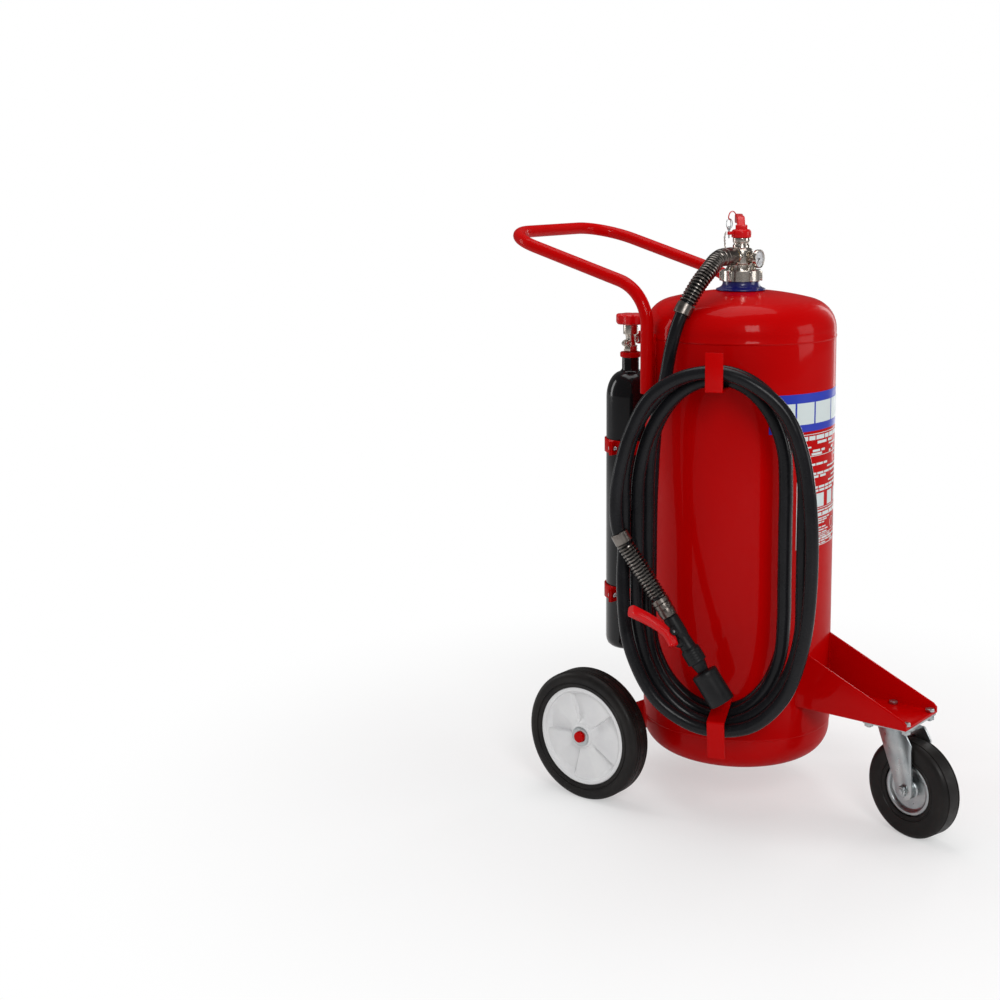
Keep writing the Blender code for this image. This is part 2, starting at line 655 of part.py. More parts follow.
def make_lever():
    heading = math.radians(LEVER_HEADING)
    swing = empty("valve_lever_axis", (0, 0, 0))
    hub_top = LEVER_Z + LEVER_HUB_H
    hub = turned("valve_lever", [(0, hub_top), (LEVER_HUB_R - 0.003, hub_top), (LEVER_HUB_R, hub_top - 0.003),
                                 (LEVER_HUB_R, LEVER_Z), (0, LEVER_Z)], sides=24)
    arm_low = LEVER_ARM_TOP_Z - LEVER_ARM_H
    outline = [(0.004, hub_top - 0.006), (0.0195, hub_top - 0.006), (0.0305, arm_low),
               (LEVER_REACH - LEVER_GRIP_L + 0.005, arm_low + 0.002),
               (LEVER_REACH - LEVER_GRIP_L + 0.005, LEVER_ARM_TOP_Z - 0.002), (0.020, LEVER_ARM_TOP_Z),
               (0.014, LEVER_ARM_TOP_Z - 0.004), (0.006, hub_top + 0.004)]
    arm = as_mesh(flat("lever_arm", [outline], LEVER_ARM_T, (0, 0, 0), (math.pi / 2, 0, heading)))
    middle = LEVER_ARM_TOP_Z - LEVER_ARM_H / 2 - 0.0003
    grip_profile = [(0, LEVER_REACH), (LEVER_GRIP_R * 0.75, LEVER_REACH), (LEVER_GRIP_R, LEVER_REACH - 0.004),
                    (LEVER_GRIP_R * 0.94, LEVER_REACH - 0.014), (0.0078, LEVER_REACH - LEVER_GRIP_L),
                    (0, LEVER_REACH - LEVER_GRIP_L)]
    grip = turned("lever_grip", grip_profile, (0, 0, middle), (0, math.pi / 2, heading), 12)
    lug_turn = math.radians(LUG_HEADING)
    lug = box("lever_lug", (LEVER_HUB_R - 0.006, -0.0035, LEVER_Z + 0.006),
              (LUG_OUT + 0.0035, 0.0035, LEVER_Z + 0.006 + LUG_T), (0, 0, lug_turn))
    bosses = [box("lever_boss_%d" % i, (-0.0045, -0.0035 + side * 0.0105, hub_top - 0.002),
                  (0.0045, 0.0035 + side * 0.0105, hub_top + 0.0085), (0, 0, heading))
              for i, side in enumerate((-1, 1))]
    spindle_hole = rod("lever_spindle_hole", SPINDLE_R + GAP, LEVER_Z - 0.005, hub_top - 0.004)
    pin_hole = rod("lever_pin_hole", PIN_R + GAP, LEVER_Z, LEVER_Z + 0.02,
                   (LUG_OUT * math.cos(lug_turn), LUG_OUT * math.sin(lug_turn), 0), sides=8)
    join(hub, hide(arm), hide(grip), hide(lug), *[hide(b) for b in bosses])
    cut(hub, hide(spindle_hole), hide(pin_hole))
    add(hub, RED_VALVE, swing)
    add(rod("valve_spindle", SPINDLE_R, BLOCK_Z[1] + GAP, hub_top - 0.004 - GAP), NICKEL, swing)
    make_safety_pin(swing, lug_turn)


def make_safety_pin(swing, lug_turn):
    place = Vector((LUG_OUT * math.cos(lug_turn), LUG_OUT * math.sin(lug_turn), 0))
    holder = empty("safety_pin_axis", place, swing)
    lug_low = LEVER_Z + 0.006
    lug_top = lug_low + LUG_T
    eye_z = lug_top + PIN_EYE_R + PIN_EYE_WIRE_R + 0.002
    pin = rod("safety_pin", PIN_R, lug_low - 0.007, eye_z - PIN_EYE_R, sides=8)
    eye = ring_of_wire("pin_eye", PIN_EYE_R, PIN_EYE_WIRE_R, (0, 0, eye_z), (math.pi / 2, 0, math.pi / 2))
    stop = rod("pin_stop", 0.0026, lug_top + GAP, lug_top + 0.0018, sides=8)
    join(pin, hide(eye, holder), hide(stop, holder))
    add(pin, ZINC, holder)
    hang = eye_z - (PIN_EYE_R - PIN_EYE_WIRE_R - WIRE_R - GAP) + PIN_RING_R
    add(ring_of_wire("pin_ring", PIN_RING_R, WIRE_R, (0, 0, hang), (math.pi / 2, 0, 0), 16), ZINC, holder)


def ring_of_wire(name, radius, wire, location, turn, sides=10):
    """A closed ring of round wire about its own Z axis."""
    section = [(radius + wire * math.cos(a), wire * math.sin(a)) for a in
               [TAU * -i / 5 for i in range(5)]]
    return turned(name, section, location, turn, sides, closed=True)


# ---------------------------------------------------------------- hooks and hose
def make_hooks():
    turn = (math.pi / 2, 0, TILT)        # local X points inwards through the tank, so outwards is -X
    plate_in = UPPER_HOOK_REACH - HOOK_T
    upper = [(-TANK_R + 0.02, UPPER_ARM_Z - HOOK_T), (-TANK_R + 0.02, UPPER_ARM_Z), (-plate_in, UPPER_ARM_Z),
             (-plate_in, UPPER_ARM_Z - HOOK_T + UPPER_HOOK_H),
             (-UPPER_HOOK_REACH, UPPER_ARM_Z - HOOK_T + UPPER_HOOK_H),
             (-UPPER_HOOK_REACH, UPPER_ARM_Z - HOOK_T)]
    top = LOWER_ARM_Z + HOOK_T
    lower_in = LOWER_HOOK_REACH - HOOK_T
    high = top + LOWER_HOOK_RISE
    lower = [(-TANK_R + 0.02, high - HOOK_T), (-TANK_R + 0.02, high), (-LOWER_HOOK_REACH, top),
             (-LOWER_HOOK_REACH + LOWER_HOOK_LEAN, top - LOWER_HOOK_DROP),
             (-lower_in + LOWER_HOOK_LEAN, top - LOWER_HOOK_DROP), (-lower_in, LOWER_ARM_Z)]
    for name, outline, ahead in (("upper_hook", upper, 0.0), ("lower_hook", lower, LOWER_HOOK_AHEAD)):
        hook = as_mesh(flat(name, [outline], HOOK_W, COIL_ALONG * ahead, turn))
        cut(hook, tank_cutter(name + "_seat"))
        add(hook, RED)


def coil_loop(half_width, top, bottom, count):
    """A tall rounded loop in the coil's plane: (along, height) points, starting at the top."""
    middle = (top + bottom) / 2
    half = (top - bottom) / 2
    power = 2 / COIL_SQUARE
    loop = []
    for i in range(count):
        a = TAU * i / count
        s, c = math.sin(a), math.cos(a)
        loop.append((half_width * math.copysign(abs(s) ** power, s),
                     middle + half * math.copysign(abs(c) ** power, c)))
    return loop


def make_hose():
    ferrule_end = VALVE_BLOCK_R + HOSE_NUT_L + FERRULE_L + 2 * GAP
    start = Vector((-ferrule_end - GAP, 0, OUTLET_Z))
    guard_spots = [start, start + Vector((-0.008, 0, 0)), Vector((-0.105, -0.003, 1.1600)),
                   Vector((-0.138, -0.006, 1.1450)),
                   Vector((-0.170, -0.001, 1.1160)), Vector((-0.196, 0.012, 1.0720))]
    run_spots = [Vector((-0.1975, 0.0125, 1.0690)), Vector((-0.2120, 0.0220, 1.0250)),
                 Vector((-0.2175, 0.0310, 0.9780)), coil_side(0.1860, -0.118, 0.9200),
                 coil_side(0.1840, -0.131, 0.8600), coil_side(0.1880, -0.138, 0.7900),
                 coil_side(COIL_INNER - HOSE_R - GAP, -0.139, 0.7200)]
    add(tube("hose_guard", smooth_path(guard_spots, 0.018), GUARD_R, 3), STEEL)
    add(tube("hose_top_run", smooth_path(run_spots, 0.035), HOSE_R), HOSE)

    inside_top = UPPER_ARM_Z + COIL_SLACK
    inside_bottom = LOWER_ARM_Z - COIL_SLACK
    outer = coil_loop(COIL_OUTSIDE_W, inside_top + COIL_BAND, inside_bottom - COIL_BAND, 32)
    inner = coil_loop(COIL_INSIDE_W, inside_top, inside_bottom, 28)
    thickness = COIL_OUTER - COIL_INNER
    middle = COIL_OUT * (COIL_INNER + COIL_OUTER) / 2
    across = [[(x, z) for x, z in loop] for loop in (outer, inner)]
    up = Vector((0, 0, 1))
    face_turn = Matrix((COIL_ALONG, up, COIL_ALONG.cross(up))).transposed().to_euler()
    add(flat("hose_coil", across, thickness, middle, face_turn), HOSE)

    beside = COIL_OUTER + HOSE_R + GAP
    over = COIL_OUTER + GUARD_R + 3 * GAP
    last_turn = [(beside, -0.1790, 0.4700), (beside, -0.1550, 0.3600), (beside, -0.1050, 0.2750),
                 (beside, -0.0450, 0.2250), (beside + 0.0010, 0.0200, 0.2130),
                 (beside + 0.0060, 0.0850, 0.2380), (beside + 0.0120, 0.1400, 0.3100),
                 (beside + 0.0160, 0.1750, 0.4200), (beside + 0.0170, 0.1890, 0.5500),
                 (beside + 0.0150, 0.1850, 0.6800), (beside + 0.0100, 0.1610, 0.7950),
                 (beside + 0.0030, 0.1180, 0.8800),
                 (beside, 0.0600, 0.9330), (beside, 0.0000, 0.9520), (beside, -0.0620, 0.9350),
                 (beside, -0.1180, 0.8900), (beside + 0.0020, -0.1660, 0.8200), (over, -0.1960, 0.7380),
                 (over, -0.2060, 0.6800)]
    axis = (NOZZLE_TIP - NOZZLE_START).normalized()
    nozzle_hose = NOZZLE_START - axis * (NOZZLE_FERRULE_L + GAP)
    guard_top = coil_side(over, -0.2040, 0.6340)
    guard = [guard_top, coil_side(over, -0.1950, 0.5950),
             nozzle_hose - axis * 0.070 + COIL_ALONG * -0.006 + COIL_OUT * 0.005,
             nozzle_hose - axis * 0.035 + COIL_ALONG * -0.001 + COIL_OUT * 0.003,
             nozzle_hose - axis * 0.008, nozzle_hose]
    add(tube("nozzle_guard", smooth_path(guard, 0.018), GUARD_R, 3), STEEL)
    outer_run = [coil_side(*spot) for spot in last_turn]
    outer_run.append(guard_top + (guard[0] - guard[1]).normalized() * (GAP + 0.0015))
    add(tube("hose_outer_run", smooth_path(outer_run, 0.060), HOSE_R), HOSE)


# ---------------------------------------------------------------- nozzle
def make_nozzle():
    along = (NOZZLE_TIP - NOZZLE_START).normalized()
    side = (NOZZLE_LEVER_SIDE - along * NOZZLE_LEVER_SIDE.dot(along)).normalized()
    frame = empty("nozzle_axis", NOZZLE_START)
    frame.rotation_euler = Matrix((along, side.cross(along), side)).transposed().to_euler()
    lie = (0, math.pi / 2, 0)            # a turned profile's height runs along the nozzle
    knurl_start, knurl, waist, barrel, tip = NOZZLE_STEPS

    add(rod("nozzle_ferrule", NOZZLE_FERRULE_R, -NOZZLE_FERRULE_L, -GAP, (0, 0, 0), lie, 24), ZINC, frame)
    profile = [(0, barrel - 0.001), (NOZZLE_WAIST_R - 0.003, barrel - 0.001), (NOZZLE_WAIST_R, waist + 0.002),
               (NOZZLE_COLLAR_R, waist), (NOZZLE_COLLAR_R, knurl), (NOZZLE_BODY_R, knurl_start),
               (NOZZLE_BODY_R, 0.004), (NOZZLE_BODY_R - 0.002, 0), (0, 0)]
    body = turned("nozzle_body", profile, (0, 0, 0), lie, 16)
    half = NOZZLE_LEVER_W / 2 + GAP
    for i, way in enumerate((-1, 1)):
        low, high = sorted((way * half, way * (half + EAR_T)))
        ear = box("nozzle_ear_%d" % i, (PIVOT_ALONG - 0.008, low, 0.004),
                  (PIVOT_ALONG + 0.008, high, PIVOT_OUT + 0.007))
        join(body, hide(ear, frame))
    upright = (math.pi / 2, 0, 0)
    pivot = (PIVOT_ALONG, 0, PIVOT_OUT)
    through = half + EAR_T + 0.01
    hole = rod("nozzle_pin_hole", PIVOT_R + GAP, -through, through, pivot, upright, 12)
    cut(body, hide(hole, frame))
    add(body, BLACK, frame)
    nose = [(NOZZLE_BORE_R + 0.004, tip), (NOZZLE_BARREL_R - 0.002, tip), (NOZZLE_BARREL_R, tip - 0.003),
            (NOZZLE_BARREL_R, barrel + 0.004), (NOZZLE_BARREL_R - 0.004, barrel),
            (0, barrel)]
    hollow = [(0, barrel + 0.012), (NOZZLE_BORE_R, barrel + 0.012)]
    add(turned("nozzle_barrel", hollow + nose, (0, 0, 0), lie, 20), BLACK, frame)
    pin_half = half + EAR_T + 0.001
    add(rod("nozzle_pin", PIVOT_R, -pin_half, pin_half, pivot, upright, 12), ZINC, frame)

    swing = empty("nozzle_lever_axis", pivot, frame)
    back = [(-0.094, 0.064), (-0.078, 0.046), (-0.055, 0.027), (-0.030, 0.010), (-0.010, -0.001)]
    foot = [(-0.0045, -0.0055), (0.0045, -0.0055), (0.0100, 0.0000)]
    nose_end = [(0.0215, 0.0075), (0.0240, 0.0125), (0.0215, 0.0175), (0.0140, 0.0190)]
    crest = [(0.000, 0.0170), (-0.020, 0.0230), (-0.045, 0.0390), (-0.066, 0.0560), (-0.084, 0.0730)]
    outline = back + foot + nose_end + crest + [(-0.0915, 0.0715)]
    lever = as_mesh(flat("nozzle_lever", [outline], NOZZLE_LEVER_W, (0, 0, 0), upright))
    lever_hole = rod("nozzle_lever_hole", running(PIVOT_R, 12), -0.02, 0.02, (0, 0, 0), upright, 12)
    cut(lever, hide(lever_hole, swing))
    add(lever, RED_VALVE, swing)


# ---------------------------------------------------------------- handle frame
def make_handle():
    facet = TAU / TANK_SIDES
    turn = math.radians(HANDLE_POST_TURN)
    facing = (math.floor(turn / facet) + 0.5) * facet
    off_axis = (TANK_R * math.cos(facet / 2) + HANDLE_TUBE_R + HANDLE_STAND) / math.cos(turn - facing)
    post_x = off_axis * math.cos(turn)
    post_y = off_axis * math.sin(turn)
    corners = [(-post_x, post_y, HANDLE_FOOT_Z), (-post_x, post_y, HANDLE_BEND_Z),
               (-post_x, HANDLE_BAR_Y, HANDLE_BAR_Z), (post_x, HANDLE_BAR_Y, HANDLE_BAR_Z),
               (post_x, post_y, HANDLE_BEND_Z), (post_x, post_y, HANDLE_FOOT_Z)]
    frame = as_mesh(tube("handle_frame", rounded_path(corners, HANDLE_BEND_R, 6), HANDLE_TUBE_R, 4))
    half = HANDLE_STRIP_W / 2
    for i, way in enumerate((-1, 1)):
        strip = box("handle_strip_%d" % i, (TANK_R - 0.010, -half, HANDLE_FOOT_Z + 0.002),
                    (off_axis - HANDLE_TUBE_R / 2, half, TOP_HEAD_Z - 0.006),
                    (0, 0, turn if way > 0 else math.pi - turn))
        join(frame, hide(cut(strip, tank_cutter("handle_strip_seat_%d" % i))))
    add(frame, RED)


# ---------------------------------------------------------------- gas bottle, its valve and its clamps
def make_bottle():
    place = (0, BOTTLE_Y, 0)
    shoulder = [(BOTTLE_NECK_R + (BOTTLE_R - BOTTLE_NECK_R) * math.sin(math.radians(a)),
                 BOTTLE_SHOULDER_Z + (BOTTLE_NECK_Z - BOTTLE_SHOULDER_Z) * math.cos(math.radians(a)))
                for a in (12, 40, 65, 90)]
    foot = [(BOTTLE_R, BOTTLE_BOTTOM_Z + 0.024), (BOTTLE_R - 0.006, BOTTLE_BOTTOM_Z + 0.008),
            (BOTTLE_R - 0.020, BOTTLE_BOTTOM_Z)]
    wall = 0.004
    inside = [(0, BOTTLE_BOTTOM_Z + wall), (BOTTLE_R - 0.022, BOTTLE_BOTTOM_Z + wall),
              (BOTTLE_R - wall, BOTTLE_BOTTOM_Z + 0.026), (BOTTLE_R - wall, BOTTLE_SHOULDER_Z),
              (BOTTLE_R * 0.62, BOTTLE_SHOULDER_Z + 0.036), (0.009, BOTTLE_NECK_Z - 0.004),
              (0.009, BOTTLE_NECK_TOP_Z)]
    outside = [(BOTTLE_NECK_R, BOTTLE_NECK_TOP_Z), (BOTTLE_NECK_R, BOTTLE_NECK_Z)] + shoulder + foot
    add(turned("gas_bottle", inside + outside + [(0, BOTTLE_BOTTOM_Z)], place, sides=24), BOTTLE)
    ring_low = BOTTLE_NECK_TOP_Z + GAP
    bore_r = BOTTLE_VALVE_R + GAP
    add(ring("gas_neck_ring", NECK_RING_R, bore_r, ring_low, ring_low + NECK_RING_H, place), RED)

    top = BOTTLE_VALVE_TOP_Z
    nut_low = ring_low + NECK_RING_H + GAP
    nut_top = nut_low + BOTTLE_NUT_H
    profile = [(0, top), (BOTTLE_COLLAR_R - 0.0015, top), (BOTTLE_COLLAR_R, top - 0.0015),
               (BOTTLE_COLLAR_R, top - BOTTLE_COLLAR_H), (BOTTLE_VALVE_R, top - BOTTLE_COLLAR_H - 0.001),
               (BOTTLE_VALVE_R, nut_top), (BOTTLE_NUT_R, nut_top - 0.0015), (BOTTLE_NUT_R, nut_low),
               (BOTTLE_VALVE_R, nut_low), (BOTTLE_VALVE_R, ring_low), (0.0085, ring_low),
               (0.0085, BOTTLE_NECK_TOP_Z - 0.012),
               (0, BOTTLE_NECK_TOP_Z - 0.012)]
    body = turned("gas_valve_body", profile, place, sides=16)
    outlet = rod("gas_outlet", 0.0075, 0, BOTTLE_OUTLET_REACH - 0.006, (0, BOTTLE_Y, BOTTLE_OUTLET_Z),
                 (0, math.radians(75), 0), 14)
    relief = rod("gas_relief", 0.0065, 0, 0.032, (0, BOTTLE_Y, BOTTLE_OUTLET_Z), (0, -math.pi / 2, 0), 14)
    bore = rod("gas_spindle_bore", running(GAS_SPINDLE_R), top - 0.020, top + 0.01, place)
    join(body, hide(outlet), hide(relief))
    cut(body, hide(bore))
    add(body, NICKEL)
    cap_turn = (0, math.radians(75), 0)
    add(rod("gas_outlet_cap", CAP_R, BOTTLE_OUTLET_REACH - 0.006 + GAP, BOTTLE_OUTLET_REACH + 0.006,
            (0, BOTTLE_Y, BOTTLE_OUTLET_Z), cap_turn, 18), RED_VALVE)

    spin = empty("gas_handwheel_axis", (0, BOTTLE_Y, 0))
    low = top + 0.0005
    bm = bmesh.new()
    sides = HANDWHEEL_LOBES * 6
    bmesh.ops.create_cone(bm, cap_ends=True, segments=sides, radius1=HANDWHEEL_R, radius2=HANDWHEEL_R,
                          depth=HANDWHEEL_H, matrix=Matrix.Translation((0, 0, low + HANDWHEEL_H / 2)))
    for spot in bm.verts:
        wave = math.cos(HANDWHEEL_LOBES * math.atan2(spot.co.y, spot.co.x))
        spot.co.xy *= 0.91 + 0.09 * wave
    wheel = mesh_object("gas_handwheel", bm, smooth=50)
    stem = rod("gas_spindle", GAS_SPINDLE_R, top - 0.018, low + HANDWHEEL_H / 2)
    add(join(wheel, hide(stem, spin)), RED_VALVE, spin)


def make_clamps():
    inner = BOTTLE_R + GAP
    outer = inner + CLAMP_T
    ear = outer + CLAMP_EAR
    for i, height in enumerate(CLAMP_Z):
        name = ("lower", "upper")[i]
        place = (0, BOTTLE_Y, height)
        strap_inside = arc((0, 0), inner, 180, 0, 12)
        strap_outside = arc((0, 0), outer, 4, 176, 12)
        strap = ([(-ear, GAP), (-inner, GAP)] + strap_inside[1:-1]
                 + [(inner, GAP), (ear, GAP), (ear, CLAMP_T), (outer, CLAMP_T)] + strap_outside
                 + [(-outer, CLAMP_T), (-ear, CLAMP_T)])
        tank_side = -BOTTLE_Y + TANK_R - 0.02
        stem_y = -math.sqrt(outer ** 2 - SADDLE_HALF_W ** 2)
        cradle_inside = arc((0, 0), inner, 180, 360, 12)
        left = arc((0, 0), outer, 176, 180 + math.degrees(math.acos(SADDLE_HALF_W / outer)), 4)
        right = [(-x, y) for x, y in reversed(left)]
        saddle = ([(-ear, -GAP), (-ear, -CLAMP_T), (-outer, -CLAMP_T)] + left[2:]
                  + [(-SADDLE_HALF_W, stem_y), (-SADDLE_HALF_W, tank_side), (SADDLE_HALF_W, tank_side),
                     (SADDLE_HALF_W, stem_y)] + right[:-2]
                  + [(outer, -CLAMP_T), (ear, -CLAMP_T), (ear, -GAP), (inner, -GAP)]
                  + cradle_inside[1:-1][::-1] + [(-inner, -GAP)])
        strap_plate = as_mesh(flat(name + "_strap", [strap], CLAMP_H, place))
        saddle_plate = as_mesh(flat(name + "_saddle", [saddle], CLAMP_H, place))
        cut(saddle_plate, tank_cutter(name + "_saddle_seat"))
        for j, way in enumerate((-1, 1)):
            bolt_at = (way * (outer + CLAMP_EAR * 0.55), BOTTLE_Y, height)
            hole = rod("%s_clamp_hole_%d" % (name, j), CLAMP_BOLT_R + GAP, -0.02, 0.02, bolt_at,
                       (math.pi / 2, 0, 0), 12)
            hide(hole)
            cut(strap_plate, hole)
            cut(saddle_plate, hole)
            seat = CLAMP_T + GAP
            add(bolt("%s_clamp_bolt_%d" % (name, j + 1), CLAMP_BOLT_R, 0.010, seat, -seat, 0.005, bolt_at,
                     (-math.pi / 2, 0, 0), base), ZINC)
        add(strap_plate, RED)
        add(saddle_plate, RED)


def bolt(name, radius, across_flats, head_at, nut_at, height, location, turn, parent):
    """A hexagon bolt with its nut run up: head above head_at, nut below nut_at."""
    shank = rod(name, radius, nut_at - height - 0.003, head_at + height / 2, location, turn, 12)
    head = hexagon(name + "_head", across_flats, head_at, head_at + height * 0.8, location, turn)
    nut = hexagon(name + "_nut", across_flats, nut_at - height, nut_at, location, turn)
    return join(shank, hide(head, parent), hide(nut, parent))


# ---------------------------------------------------------------- rear axle and wheels
def make_axle():
    lie = (0, math.pi / 2, 0)
    place = (0, AXLE_Y, WHEEL_R)
    shoulder = WHEEL_X - HUB_W / 2 - HUB_BOSS_PROUD - GAP
    half = [(0, AXLE_END_X), (AXLE_R, AXLE_END_X), (AXLE_R, shoulder), (AXLE_COLLAR_R, shoulder),
            (AXLE_COLLAR_R, shoulder - AXLE_COLLAR_L), (AXLE_R, shoulder - AXLE_COLLAR_L)]
    add(turned("rear_axle", half + [(r, -x) for r, x in reversed(half)], place, lie, 20), RED)
    for name, way in (("left", -1), ("right", 1)):
        x = way * AXLE_BRACKET_X
        outline = ([(TANK_R - 0.06, WHEEL_R + 0.060), (TANK_R - 0.06, WHEEL_R - 0.014)]
                   + arc((AXLE_Y, WHEEL_R), AXLE_R + 0.009, -80, 60, 8))
        bracket = as_mesh(flat(name + "_axle_bracket", [outline], AXLE_BRACKET_T, (x, 0, 0),
                               (math.pi / 2, 0, math.pi / 2)))
        hole = rod(name + "_bracket_hole", AXLE_R + GAP, -0.02, 0.02, (x, AXLE_Y, WHEEL_R), lie, 20)
        cut(bracket, tank_cutter(name + "_bracket_seat"), hide(hole))
        add(bracket, RED)
        make_rear_wheel(name, way * WHEEL_X)
        washer_x = way * (WHEEL_X + HUB_W / 2 + HUB_BOSS_PROUD + GAP + WASHER_T / 2)
        add(ring(name + "_washer", WASHER_R, AXLE_R + GAP, -WASHER_T / 2, WASHER_T / 2,
                 (washer_x, AXLE_Y, WHEEL_R), lie, 20), ZINC)


def make_rear_wheel(name, x):
    lie = (0, math.pi / 2, 0)
    spin = empty(name + "_wheel_axis", (x, AXLE_Y, WHEEL_R), base, FLAT_DOWN)
    section = on_facets(REAR_TYRE, HUB_R + 2 * GAP)
    add(turned(name + "_tyre", section, (0, 0, 0), lie, WHEEL_SIDES, closed=True), TYRE, spin)
    half = HUB_W / 2
    web = HUB_WEB / 2
    rim_in = HUB_R - HUB_RIM
    proud = half + HUB_BOSS_PROUD
    upper = [(running(AXLE_R, WHEEL_SIDES), proud), (HUB_BOSS_R - 0.004, proud), (HUB_BOSS_R, web),
             (rim_in - 0.002, web), (rim_in, half), (HUB_R, half)]
    profile = upper + [(r, -z) for r, z in reversed(upper)]
    add(turned(name + "_hub", profile, (0, 0, 0), lie, WHEEL_SIDES, closed=True), WHITE, spin)


# ---------------------------------------------------------------- caster and its bracket
def make_bracket():
    rear = -(TANK_R - 0.03)
    front = BRACKET_FRONT_Y
    outline = [(rear, BRACKET_Z), (front, BRACKET_Z), (front, BRACKET_Z + FLANGE_FRONT_H - 0.007),
               (front + 0.007, BRACKET_Z + FLANGE_FRONT_H),
               (-math.sqrt(TANK_R ** 2 - BRACKET_HALF_W ** 2), FLANGE_TOP_Z), (rear, FLANGE_TOP_Z)]
    channel = as_mesh(flat("caster_bracket", [outline], 2 * BRACKET_HALF_W, (0, 0, 0),
                           (math.pi / 2, 0, math.pi / 2)))
    inside = BRACKET_HALF_W - BRACKET_T
    trough = box("bracket_trough", (-inside, front - 0.05, BRACKET_Z + BRACKET_T),
                 (inside, 0, FLANGE_TOP_Z + 0.05))
    cut(channel, hide(trough), tank_cutter("bracket_seat"))
    plate_half = CASTER_PLATE[0] / 2
    plate = box("caster_plate", (-plate_half, -CASTER_PLATE[1] / 2, PLATE_BOTTOM),
                (plate_half, CASTER_PLATE[1] / 2, PLATE_TOP), location=(0, SWIVEL_Y, 0))
    race = turned("swivel_race", [(0, PLATE_BOTTOM + 0.001), (RACE_R * 0.8, PLATE_BOTTOM + 0.001),
                                  (RACE_R, PLATE_BOTTOM - 0.005), (RACE_R, RACE_BOTTOM), (0, RACE_BOTTOM)],
                  (0, SWIVEL_Y, 0), sides=20)
    kingpin_low = CROWN_BOTTOM - 0.006
    kingpin = rod("kingpin", KINGPIN_R, kingpin_low + 0.002, PLATE_BOTTOM, (0, SWIVEL_Y, 0))
    kingpin_head = rod("kingpin_head", 0.011, kingpin_low, CROWN_BOTTOM - GAP, (0, SWIVEL_Y, 0))
    join(plate, hide(race), hide(kingpin), hide(kingpin_head))
    number = 0
    for x in (-BOLT_X, BOLT_X):
        for y in (-BOLT_Y, BOLT_Y):
            number += 1
            at = (x, SWIVEL_Y + y, 0)
            hole = rod("plate_hole_%d" % number, BOLT_R + GAP, BRACKET_Z - 0.03, BRACKET_Z + 0.03, at,
                       sides=12)
            hide(hole)
            cut(channel, hole)
            cut(plate, hole)
            head_at = BRACKET_Z + BRACKET_T + GAP
            add(bolt("plate_bolt_%d" % number, BOLT_R, BOLT_AF, head_at, PLATE_BOTTOM - GAP, 0.007, at,
                     (0, 0, 0), base), ZINC)
    add(channel, RED)
    add(plate, ZINC)


def make_caster():
    swivel = empty("caster_swivel_axis", (0, SWIVEL_Y, 0), base, (0, 0, CASTER_TURN))
    bore_r = running(KINGPIN_R, 20)
    crown = turned("caster_fork", [(bore_r, CROWN_TOP), (CROWN_R, CROWN_TOP), (CROWN_R, CROWN_BOTTOM),
                                   (bore_r, CROWN_BOTTOM)], sides=20, closed=True)
    leg_x = FORK_INSIDE + FORK_T / 2
    roof = box("fork_roof", (-leg_x, -0.034, CROWN_BOTTOM), (leg_x, 0.030, CROWN_TOP - 0.0005))
    roof_hole = rod("fork_roof_hole", running(KINGPIN_R), CROWN_BOTTOM - 0.01, CROWN_TOP + 0.01)
    join(crown, hide(roof, swivel))
    cut(crown, hide(roof_hole, swivel))
    axle_hole = rod("fork_axle_hole", CASTER_AXLE_R + GAP, -0.06, 0.06, (0, -TRAIL, CASTER_R),
                    (0, math.pi / 2, 0))
    for i, way in enumerate((-1, 1)):
        outline = ([(0.030, CROWN_TOP - 0.0005), (0.022, CROWN_BOTTOM - 0.016)]
                   + arc((-TRAIL, CASTER_R), LEG_END_R, 15, -195, 8)
                   + [(-0.056, CROWN_BOTTOM - 0.020), (-0.040, CROWN_TOP - 0.0005)])
        leg = as_mesh(flat("fork_leg_%d" % i, [outline], FORK_T, (way * leg_x, 0, 0),
                           (math.pi / 2, 0, math.pi / 2)))
        join(crown, hide(leg, swivel))
    cut(crown, hide(axle_hole, swivel))
    add(crown, ZINC, swivel)

    lie = (0, math.pi / 2, 0)
    place = (0, -TRAIL, CASTER_R)
    shank_end = CASTER_AXLE_HALF
    fork_out = FORK_INSIDE + FORK_T
    seat = fork_out + GAP
    add(bolt("caster_axle", CASTER_AXLE_R, 0.019, seat, -seat, shank_end - fork_out - 0.004, place, lie,
             swivel), ZINC, swivel)
    spin = empty("caster_wheel_axis", place, swivel, FLAT_DOWN)
    section = on_facets(CASTER_TYRE, CASTER_RIM_R + 2 * GAP)
    add(turned("caster_tyre", section, (0, 0, 0), lie, WHEEL_SIDES, closed=True), TYRE, spin)
    half = CASTER_RIM_W / 2
    boss = CASTER_BOSS_W / 2
    bore = running(CASTER_AXLE_R, WHEEL_SIDES)
    upper = [(bore, boss), (CASTER_BOSS_R, boss), (CASTER_BOSS_R + 0.003, half - 0.008),
             (CASTER_RIM_R - 0.012, half - 0.006), (CASTER_RIM_R - 0.006, half), (CASTER_RIM_R, half)]
    add(turned("caster_rim", upper + [(r, -z) for r, z in reversed(upper)], (0, 0, 0), lie, WHEEL_SIDES,
               closed=True), ZINC, spin)


make_tank()
make_neck()
make_valve()
make_gauge()
make_lever()
make_hooks()
make_hose()
make_nozzle()
make_handle()
make_bottle()
make_clamps()
make_axle()
make_bracket()
make_caster()
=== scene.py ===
"""Dressed model of a wheeled powder extinguisher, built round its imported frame."""
import math
import random

import bmesh
import bpy
from mathutils import Matrix, Vector


